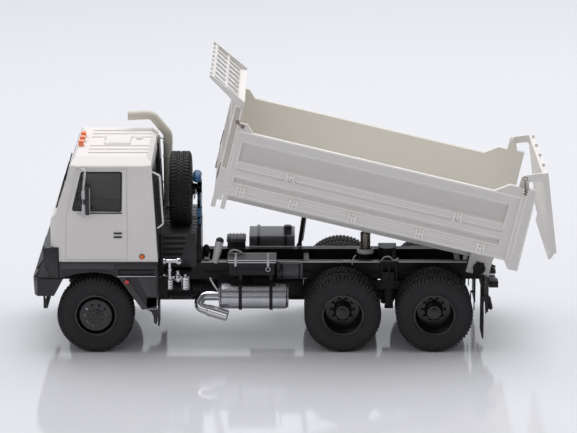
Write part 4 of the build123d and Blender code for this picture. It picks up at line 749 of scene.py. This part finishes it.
def cab_rear():
    """The dark rear wall of the cab and the beige intake's clamps."""
    wall = Piece("cab_rear_wall", "dark_plastic", "black_plastic")
    slope = [(20.93, 31.7), (21.33, 31.7), (20.33, 51.0), (19.93, 51.0)]
    wall.prism(slope, (-25.4, 25.4), 0.05)
    upper = [(19.95, 51.0), (20.35, 51.0), (19.75, 62.4), (19.35, 62.4)]
    for y in ((-25.4, -13.2), (13.2, 25.4)):
        wall.prism(upper, y, 0.05)
    for y in (-22.0, -17.5, -13.0, 13.0):
        wall.prism([(21.2, 39.0), (21.55, 39.0), (20.6, 57.0), (20.3, 57.0)], near(y, 0.35), 0.05)
    wall.done()
    clamps = Piece("intake_clamps", "intake_beige", "intake_beige")
    for z, radius in ((46.8, 1.62), (56.0, 1.62), (61.0, 1.62), (39.0, 1.9)):
        clamps.lathe((22.7, 19.6, z), UP, [(1.5, 0), (radius + 0.2, 0), (radius + 0.2, 0.5), (1.5, 0.5)], 28)
    clamps.done()


# Behind the cab


def spare_carrier():
    """Winch, hook and rods on the spare wheel's post; all stay ahead of the sweeping headboard."""
    blue = Piece("winch_blue_parts", "dark_plastic", "blue")
    blue.ball((33.3, -3.5, 53.95), 1.45, 20)
    blue.box((33.2, 34.85), (-4.6, -2.3), (40.7, 43.6), 0.2)
    blue.ball((34.0, -3.2, 38.5), 0.85, 14, 1.5)
    blue.bar((34.5, -3.3, 43.4), (34.3, -3.3, 48.6), 0.2, 10)
    blue.done()
    rods = Piece("carrier_rods", "silver_paint", "silver")
    rods.bar((34.55, -2.7, 44.2), (33.2, -2.7, 49.2), 0.22, 8)
    rods.bar((34.7, -2.7, 44.2), (34.6, -2.7, 48.8), 0.2, 8)
    rods.bar((34.4, -3.0, 31.6), (34.4, -3.0, 40.0), 0.28, 10)
    rods.bar((32.9, -2.4, 50.0), (32.4, -2.4, 46.5), 0.25, 8)
    rods.done()
    hub = Piece("carrier_hub", "chassis_black", "chassis")
    hub.lathe((31.2, 0, 49.5), BACK, [(0, 0), (3.4, 0), (3.2, 0.6), (2.0, 0.9), (1.7, 2.2), (0, 2.2)], 32)
    round_nuts(hub, [(31.75, y, 49.5 + z) for y, z in circle(10, 2.6)], BACK, 0.3)
    for y in (-1.9, 1.9):
        hub.box((33.4, 34.9), near(y, 0.3), (38.0, 52.2), 0.06)
    for z in (40.0, 45.0, 50.5):
        hub.box((33.38, 34.92), (-2.3, 2.3), near(z, 0.3), 0.06)
    hub.done()


def housing_ribs():
    """Louvre blades and panel frames on the engine housing."""
    ribs = Piece("housing_ribs", "dark_plastic", "black_plastic")
    for z in (37.9, 36.0, 34.1, 32.2, 30.3):
        ribs.box((21.9, 30.2), (-17.35, -16.9), (z - 0.22, z + 0.1), 0.05, finish="grey_plastic")
    ribs.prism([(29.8, 26.6), (33.3, 26.6), (33.3, 38.2), (31.4, 38.2), (28.4, 31.5)], (-17.3, -16.95), 0.12)
    ribs.box((21.4, 33.4), (-17.2, -16.95), (26.5, 27.1), 0.05)
    for x in (21.7, 33.1):
        ribs.box(near(x, 0.25), (-17.35, -16.9), (26.5, 38.3), 0.05)
    round_nuts(ribs, [(x, -17.3, z) for x in (30.6, 32.6) for z in (28, 31, 34)], LEFT, 0.2,
        finish="grey_plastic")
    for y in range(-14, 22, 4):
        ribs.box((21.6, 33.3), near(y, 0.2), (38.2, 38.42), 0.04)
    ribs.done()


def valve_cluster():
    """The chrome valves: a tee on a stem over two ribbed canisters, with a knob between them."""
    y = -22.6
    knobs = Piece("valves", "bright_metal", "chrome")
    knobs.bar((22.7, y, 30.1), (27.8, y, 30.1), 0.7, 16)
    knobs.ball((22.7, -22.7, 30.1), 1.05, 18)
    knobs.lathe((26.8, y, 30.1), BACK, [(0, 0), (1.1, 0), (1.2, 0.3), (1.2, 1.3), (0.9, 1.7), (0, 1.8)], 18)
    knobs.bar((24.5, y, 24.0), (24.5, y, 29.9), 0.68, 16)
    knobs.lathe((24.5, y, 26.9), UP, [(0.6, 0), (0.95, 0.1), (0.95, 0.7), (0.6, 0.8)], 16)
    knobs.lathe((27.3, y, 23.0), UP, [(0, 0), (0.9, 0.1), (1.25, 0.7), (1.25, 1.9), (0.8, 2.6), (0.55, 2.8),
        (0.55, 3.4), (0.7, 3.5), (0.6, 3.9), (0, 4)], 18)
    knobs.bar((24.6, y, 24.4), (29.8, y, 24.4), 0.5)
    knobs.pipe([(21.2, -22.4, 24.6), (22.4, -22.8, 25.2), (24.2, -22.8, 24.9)], 0.26, 8)
    for x, radius, top in ((24.5, 1.25, 24.0), (29.8, 1.5, 24.9)):
        knobs.lathe((x, y, 20.4), UP, [(0, 0), (radius - 0.3, 0), (radius, 0.3), (radius, top - 20.8),
            (radius - 0.4, top - 20.4), (0, top - 20.4)])
        for i in range(4):
            knobs.ring((x, y, 21.0 + 0.9 * i), UP, radius + 0.02, 0.18, 24)
    knobs.bar((29.8, y, 24.8), (29.8, y, 25.6), 0.5, 12)
    knobs.done("valve_cluster")


def oil_filler():
    """The ribbed oil filler that leans over the left rail."""
    foot, head = Vector((39.5, -11.75, 26.6)), Vector((41.2, -11.75, 34.2))
    run = head - foot
    profile = [(0, 0)]
    for i in range(9):
        low = run.length * i / 9
        profile += [(1.05 + 0.03 * i, low + 0.05), (1.18 + 0.03 * i, low + 0.2), (1.18 + 0.03 * i, low + 0.6)]
    profile += [(1.2, run.length), (0, run.length)]
    neck = Piece("filler_neck", "pipe_grey", "pipe_grey")
    neck.lathe(tuple(foot), tuple(run), profile)
    neck.done("filler_pipe")
    cap = Piece("filler_cap", "dark_plastic", "black_plastic")
    cap.lathe(tuple(head), tuple(run), [(0, 0), (1.35, 0), (1.35, 0.35), (1.1, 0.85), (0.5, 1.2), (0, 1.25)])
    cap.done()


# Frame


def rail_details():
    """Upper edges painted light as highlights, bolt rows and pipes along the frame rails, and what fills the
    space between them.
    """
    edges = Piece("rail_edges", "pipe_grey", "pipe_grey")
    # Painted highlights along the rails' upper edges.
    for x0, x1 in ((34.8, 43.6), (60.6, 124.8)):
        edges.box((x0, x1), (-10.14, -9.75), (26.2, 26.48), 0.05, finish="edge_highlight_grey")
    edges.box((34.8, 124.8), (9.7, 10.1), (26.25, 26.55), 0.05, finish="edge_highlight_grey")
    edges.pipe([(66.0, -10.4, 21.8), (68.0, -10.6, 21.0), (70.5, -10.5, 20.7)], 0.16, 8)
    edges.pipe([(104.5, -10.5, 21.2), (106.0, -10.6, 21.0), (108.5, -10.5, 21.0)], 0.16, 8)
    edges.pipe([(96.0, -11.0, 27.2), (96.8, -11.3, 28.4), (98.6, -11.3, 28.6), (99.6, -11.2, 27.6),
        (100.6, -11.2, 27.4), (101.6, -11.0, 28.2)], 0.22, 8)
    edges.pipe([(86.0, -10.3, 25.6), (86.3, -10.5, 27.6), (87.2, -10.5, 29.0)], 0.18, 8)
    edges.pipe([(38.0, -19.8, 23.6), (39.0, -19.9, 21.6), (40.9, -19.8, 18.6)], 0.3)
    edges.box((83.0, 85.4), (-10.3, -9.4), (26.4, 26.9), 0.1)
    edges.done()
    bolts = Piece("frame_bolts", "chassis_black", "chassis")
    round_nuts(bolts, [(x, -10.0, z) for x in range(36, 130, 4) for z in (21.6, 25.2) if not 44 < x < 60], LEFT,
        0.26)
    for x in (96.0, 98.5, 101.0):
        bolts.box(near(x, 0.35), (-12.7, -10.0), (20.3, 27.0))
    bolts.box((95.4, 101.6), (-12.5, -10.0), (26.6, 27.1))
    bolts.box((96.9, 100.2), (-12.9, -10.2), (13.2, 17.6), 0.15)
    bolts.box((97, 100), (-12.8, -10.3), (10.8, 11.6), 0.1)
    for x in (85.4, 110.4):
        bolts.box(near(x, 0.5), (-12.8, -10.2), (17.3, 20.4), 0.1)
    bolts.mirrored()
    bolts.pipe([(36.0, -10.4, 23.2), (41.0, -10.6, 22.6), (46.0, -10.6, 23.4)], 0.3, 8)
    bolts.pipe([(62.0, -10.5, 22.8), (80.0, -10.6, 23.4), (96.0, -10.5, 22.6), (120.0, -10.5, 23.2)], 0.22, 8,
        8)
    bolts.lathe((23.0, 0, 15.2), BACK, [(0, 0), (4.7, 0), (4.7, 1.0), (4.3, 1.4), (4.3, 7.0), (4.6, 7.2),
        (4.6, 8.0), (3.9, 8.6), (3.9, 16.0), (3.2, 17.2), (0, 17.2)], 32)
    for x in (26.0, 28.5, 34.0, 36.0):
        bolts.lathe((x, 0, 15.2), BACK, [(0, 0), (4.5, 0), (4.5, 0.35), (0, 0.35)], 32)
    bolts.lathe((36.4, -3.0, 26.4), UP, [(0, 0), (0.8, 0), (0.8, 1.6), (1.2, 2.0), (1.2, 3.2), (0.7, 4.0),
        (0, 4.4)], 18)
    bolts.box((40.2, 69.5), (-6.2, 6.2), (13.4, 19.9), 0.5)
    bolts.box((52.0, 69.5), (-9.6, 9.6), (14.6, 19.8), 0.6)
    for x in (44.0, 49.0, 56.0, 62.5, 66.0):
        bolts.box(near(x, 0.3), (-6.5, 6.5), (13.2, 20.1), 0.1)
    bolts.ball((124.4, -9.0, 27.6), 0.9, 16, finish="pipe_grey")
    bolts.done()


def pump_box_lid():
    """The ribbed lid of the pump box and the seam below it."""
    lid = Piece("pump_box_lid", "dark_plastic", "grey_plastic")
    lid.box((43.3, 49.9), (-3.7, 3.7), (31.5, 32.75), 0.4)
    for x in (44.4, 45.6, 46.8, 48.0, 49.0):
        lid.box(near(x, 0.2), (-3.8, 3.8), (32.5, 32.95), 0.1, finish="black_plastic")
    lid.lathe((44.2, -2.6, 32.6), UP, [(0, 0), (0.5, 0), (0.4, 0.5), (0, 0.6)], 12, finish="black_plastic")
    lid.box((43.5, 49.7), (-3.55, 3.55), (29.2, 29.6), 0.1)
    lid.done()


def battery_box():
    """Lid edges painted light as highlights, straps and latches of the battery box."""
    edges = Piece("battery_edges", "pipe_grey", "pipe_grey")
    # Painted highlights along the lid's edges.
    for y, z in ((-20.0, 29.6), (-20.0, 28.9), (-10.8, 29.66)):
        edges.box((44.0, 60.2), near(y, 0.13), near(z, 0.13), 0.04, finish="edge_highlight_grey")
    for x in (46.6, 57.5):
        edges.box(near(x, 0.4), (-20.2, -19.9), (27.6, 29.7), 0.06)
        edges.box(near(x, 0.35), (-20.1, -11.0), (29.66, 29.85), 0.05)
    edges.ring((57.5, -20.2, 26.6), RIGHT, 0.7, 0.14, 20)
    edges.pipe([(44.4, -10.9, 30.2), (45.8, -11.2, 30.9), (47.6, -11.2, 30.6), (48.6, -11.0, 29.9)], 0.28)
    edges.done()
    straps = Piece("battery_straps", "chassis_black", "chassis")
    for x in (46.6, 57.5):
        straps.box(near(x, 0.4), (-20.05, -19.55), (24.3, 28.0), 0.06)
    straps.box((44.6, 59.6), (-19.8, -19.5), (26.2, 26.6), 0.06)
    straps.pipe([(60.1, -19.4, 28.8), (61.4, -19.0, 28.4), (61.8, -18.0, 26.6), (61.2, -17.0, 24.6)], 0.25, 8)
    straps.done()


def exhaust():
    """Seams on the muffler, and the tailpipe's sleeve and rolled rim."""
    axis = (-19.6, 17.2)
    seams = Piece("muffler_seams", "silver_paint", "silver")
    for x in (41.9, 44.4, 53.1, 61.5, 63.5):
        seams.ring((x, *axis), BACK, 4.3, 0.1, 48)
    for x in (41.2, 64.2):
        seams.ring((x, *axis), BACK, 3.7, 0.18)
    seams.box((42.2, 63.4), (-23.98, -23.8), (18.3, 18.6), 0.05)
    seams.done()
    rim = Piece("tailpipe_rim", "bright_metal", "chrome")
    rim.lathe((37.0, -22.55, 13.2), (6.8, -1.05, -1.8), [(1.5, 0), (1.9, 0.4), (1.9, 7.0), (1.5, 7.0)], 32)
    rim.ring((43.75, -23.59, 11.42), (10.4, -1.6, -2.8), 1.72, 0.18, 32)
    rim.ring((40.9, *axis), BACK, 1.65, 0.16, 32)
    rim.done()


def tank_details():
    """Straps and dome cap of the fuel tank, bands of the air tank."""
    straps = Piece("tank_straps", "chassis_black", "chassis")
    for x in (54.0, 63.4):
        for y, z in (((12.3, 28.35), (29.1, 29.45)), ((28.1, 28.35), (16.4, 29.3)),
                     ((12.2, 12.5), (16.4, 29.3))):
            straps.box(near(x, 0.5), y, z, 0.06)
    straps.lathe((64.2, 18.0, 30.3), UP, [(0, 0), (0.9, 0), (0.9, 0.4), (1.5, 0.7), (1.6, 1.1), (1.2, 1.6),
        (0, 1.8)], 20, finish="black_plastic")
    for x in (62.0, 67.8):
        straps.lathe((x, -13.0, 24.0), BACK, [(2.6, 0), (2.85, 0), (2.85, 0.5), (2.6, 0.5)], 32)
    straps.done()


# Lifting gear


def cylinder_collars():
    """Collars at the mouths of the barrel and of its stage, and rings on the stage."""
    x = 90.7
    barrel = Piece("barrel_collar", "pipe_grey", "pipe_grey", "barrel")
    barrel.lathe((x, 0, 26.9), UP, [(1.85, 0), (2.6, 0), (2.9, 0.3), (2.9, 1.2), (2.6, 1.7), (1.85, 1.7)], 36)
    barrel.done()
    stage = Piece("stage_collar", "bronze_steel", "steel", "stage")
    stage.lathe((x, 0, 33.2), UP, [(1.4, 0), (1.75, 0), (1.75, 0.8), (1.4, 0.8)], 30)
    for z in (29.4, 30.6, 31.8):
        stage.ring((x, 0, z), UP, 1.69, 0.05, 30)
    stage.done()


# Rear end


def rear_end():
    """Lever, hoses, lamp frames and lenses, and the plate behind the last wheels."""
    dark = Piece("rear_fittings", "chassis_black", "chassis")
    dark.bar((131.4, -5.0, 28.1), (133.4, -5.0, 25.2), 0.4, 10)
    dark.bar((131.8, -5.0, 25.0), (135.0, -5.0, 23.3), 0.28, 10)
    dark.bar((130.9, -5.0, 25.2), (132.6, -5.0, 26.6), 0.4, 10)
    dark.prism([(128.3, 25.4), (130.0, 25.4), (131.6, 18.0), (131.6, 12.6), (130.6, 11.5), (130.2, 17.4)],
        (-22.4, -21.9))
    dark.bar((131.5, -21.6, 17.6), (132.5, -21.6, 13.0), 0.75, 14, 0.4)
    dark.bar((131.0, -21.6, 19.6), (131.6, -21.6, 17.2), 0.35, 10)
    dark.box((131.8, 134.9), (-21.0, -16.4), (20.4, 22.6), 0.2)
    dark.bar((126.0, -15.4, 17.4), (126.0, -15.4, 11.6), 0.2, 8)
    dark.bar((127.2, -15.4, 17.4), (127.2, -15.4, 10.8), 0.2, 8)
    dark.box((125.8, 127.4), (-15.8, -15.0), (17.2, 17.8))
    for y in (-27.0, -22.4, -17.8):
        dark.box((130.9, 131.25), near(y, 0.25), (19.3, 23.9), 0.05)
    for z in (19.5, 23.7):
        dark.box((130.9, 131.2), (-27.2, -17.6), near(z, 0.2), 0.05)
    dark.mirrored()
    for y in (-2.6, 2.6):
        dark.box((131.8, 132.4), near(y, 0.4), (17.0, 21.8), 0.1)
    dark.lathe((134.1, 0, 21.3), UP, [(0, 0), (0.9, 0), (0.9, 0.3), (0.4, 0.5), (0.4, 1.4), (0, 1.5)], 16)
    round_nuts(dark, [(131.9, y, z) for y in (-8.6, -5.6, 5.6, 8.6) for z in (18.6, 22.0, 25.2)], BACK, 0.3)
    dark.pipe([(131.7, 6.4, 23.6), (133.0, 6.8, 22.6), (133.2, 7.0, 20.4), (132.0, 7.0, 19.6)], 0.25, 8)
    dark.box((131.85, 132.05), (8.5, 9.9), (18.2, 20.6), 0.05)
    dark.done()
    lenses = Piece("rear_lamp_lenses", "lamp_red", "lamp_red")
    for low, high in ((-26.9, -23.9), (-23.7, -20.8), (-20.6, -17.8)):
        lenses.box((130.95, 131.15), (low, high), (19.7, 23.5))
    lenses.mirrored().done()


# Bed, its places given lowered


def bed_details():
    """Edges, post frames and hinges painted light as highlights, latches and rods of the bed, and the rod
    beside its prop.
    """
    # Painted highlights: the trim's own paint is lighter than the bed's, standing for the light on its edges.
    trim = Piece("bed_trim", "bed_paint", "bed_edge_highlight", "bed", TIPPED)
    for x in ((35.15, 35.6), (37.3, 37.75)):
        trim.box(x, (-28.7, -28.3), (42.5, 63.9))
    trim.box((35.4, 37.5), (-28.7, -28.3), (42.1, 42.6))
    trim.box((35.4, 37.9), (-28.7, -28.3), (63.4, 63.9))
    trim.box((35.6, 37.3), (-28.44, -28.3), (42.6, 63.4), 0.03, finish="post_shade")
    trim.box((38.3, 38.65), (-28.66, -28.3), (37.4, 55.7))
    for x in ((40.05, 40.4), (131.0, 131.35)):
        for z in ((38.2, 40.5), (44.0, 52.4)):
            trim.box(x, (-28.58, -28.1), z)
    trim.box((38.2, 134.1), (-28.7, -28.2), (55.3, 55.9), 0.12)
    for z in (52.75, 45.5, 43.5, 40.6, 38.1):
        trim.box((40.4, 131.0), (-28.52, -28.2), near(z, 0.12), 0.05)
    for z in (36.9, 36.0, 34.3):
        trim.box((38.2, 134.1), (-28.58, -28.3), near(z, 0.12), 0.05)
    for outline in ([(134.3, 33.4), (134.7, 33.2), (134.7, 58.9), (134.3, 58.9)],
                    [(136.0, 31.1), (136.4, 31.1), (136.2, 58.9), (135.8, 58.9)],
                    [(138.9, 31.2), (139.3, 31.2), (138.85, 58.9), (138.45, 58.9)]):
        trim.prism(outline, (-29.1, -28.8), 0.06)
    for x, low, high in [(x, 34.2, 37.3) for x in (43.5, 61.5, 81.5, 104.5, 125.5)] + [
            (x, 43.2, 45.8) for x in (58.5, 115.5)]:
        for shift in (-1.1, 0, 1.1):
            trim.box((x + shift - 0.28, x + shift + 0.28), (-29.0, -28.2), (low, high), 0.12)
        trim.bar((x - 1.3, -28.7, (low + high) / 2), (x + 1.3, -28.7, (low + high) / 2), 0.3, 10)
    trim.mirrored()
    for y in (-20, -12, -4, 4, 12, 20):
        trim.box((41, 133), near(y, 0.2), (36.3, 36.52), 0.04, finish="bed_white")
    trim.box((96.0, 99.6), (-4.6, 4.6), (30.2, 33.8), 0.3, finish="bed_white")
    trim.done()
    gap = Piece("pivot_bracket_gap", "chassis_black", "chassis", "bed", TIPPED)
    gap.box((127.5, 130.3), (-12.55, -12.25), (22.55, 27.0), 0.06)
    gap.mirrored().done()
    latches = Piece("bed_latches", "bronze_steel", "latch_brown", "bed", TIPPED)
    for x, z, radius in ((37.2, 58.6, 0.55), (39.2, 57.4, 0.55), (134.0, 62.2, 0.75), (135.0, 57.9, 0.6)):
        latches.ring((x, -28.8, z), RIGHT, radius * 0.85, 0.17, 24)
    latches.bar((37.2, -28.85, 58.2), (39.2, -28.85, 57.3), 0.2, 8)
    latches.bar((134.1, -29.0, 61.4), (134.9, -29.0, 58.4), 0.2, 8)
    for z in (57.2, 58.1, 59.0):
        latches.bar((134.6, -29.05, z), (135.9, -29.05, z - 0.2), 0.2, 8)
    latches.mirrored().done()
    rods = Piece("headboard_rods", "chassis_black", "chassis", "bed", TIPPED)
    for y in (-24, 24):
        rods.bar((35.0, y, 37.6), (35.1, y, 43.0), 0.12, 8)
    rods.done()
    prop = Piece("prop_bar", "silver_paint", "pipe_grey", "bed")
    prop.bar((69.3, 11.0, 28.4), (70.95, 11.0, 40.2), 0.24, 10)
    prop.ring((69.3, 11.0, 28.4), (0.14, 0, 1), 0.3, 0.08, 16)
    prop.done()


def gate_details():
    """Edges, hinge plates and cross bars of the tailgate, its places given closed."""
    trim = Piece("gate_trim", "bed_paint", "bed_white", "gate", AJAR)
    trim.box((139.6, 141.5), (-29.05, -28.8), (35.7, 63.2))
    trim.prism([(135.0, 63.1), (141.4, 63.1), (141.4, 59.3), (139.9, 59.3), (139.2, 60.7), (135.0, 60.9)],
        (-29.0, -28.5))
    trim.mirrored()
    for z in (40.5, 50.0, 58.5):
        trim.box((140.55, 140.85), (-28, 28), near(z, 0.15), 0.04)
    trim.done()


def dark_lamp_backs():
    """Gives the rear lamps black housings, so that only the faces that look back are red."""
    lamps = frame["nodes"]["lamps_red"]
    lamps.data.materials.append(M["black_plastic"])
    for face in lamps.data.polygons:
        x = ((lamps.matrix_world @ face.center).x - FRONT_AXLE) / MM
        if x > 100 and (lamps.matrix_world.to_3x3() @ face.normal).x < 0.5:
            face.material_index = 1


# The lowered bed's inner faces, and the middle of its side boards' sunken panels, which get painted shade
SKIN_Y, FLOOR_Z, HEAD_X, SHADED_PANEL_Y = 26.7, 37.1, 38, 27.5


def bed_faces():
    """Gives the faces that look into the bed a beige finish and the side boards' sunken panels a darker one as
    painted shade.
    """
    back = TIPPED.inverted()
    for name in ("bed_side_left", "bed_side_right", "bed_floor", "bed_headboard"):
        wall = frame["nodes"][name]
        wall.data.materials.append(M["bed_beige"])
        wall.data.materials.append(M["bed_panel_shade"])
        for face in wall.data.polygons:
            spot = back @ (wall.matrix_world @ face.center)
            x, y, z = (spot.x - FRONT_AXLE) / MM, spot.y / MM, spot.z / MM
            look = back.to_3x3() @ (wall.matrix_world.to_3x3() @ face.normal)
            across = "side" in name and abs(look.y) > 0.9
            inner_side = across and abs(y) < SKIN_Y and look.y * y < 0
            inner_floor = name == "bed_floor" and z > FLOOR_Z and look.z > 0.9
            inner_head = name == "bed_headboard" and x > HEAD_X and look.x > 0.9
            if inner_side or inner_floor or inner_head:
                face.material_index = 1
            # Painted shade: the outer faces of the sunken panels get the darker copy of the bed's paint.
            if across and abs(abs(y) - SHADED_PANEL_Y) < 0.1 and look.y * y > 0:
                face.material_index = 2


for build in (studio, dress_nodes, bed_faces, dark_lamp_backs, wheels, cab_mirrors, cab_dark_trim,
              cab_light_trim, cab_rear, spare_carrier, housing_ribs, valve_cluster, oil_filler,
              rail_details, pump_box_lid, battery_box, exhaust, tank_details, cylinder_collars, rear_end,
              bed_details, gate_details):
    build()
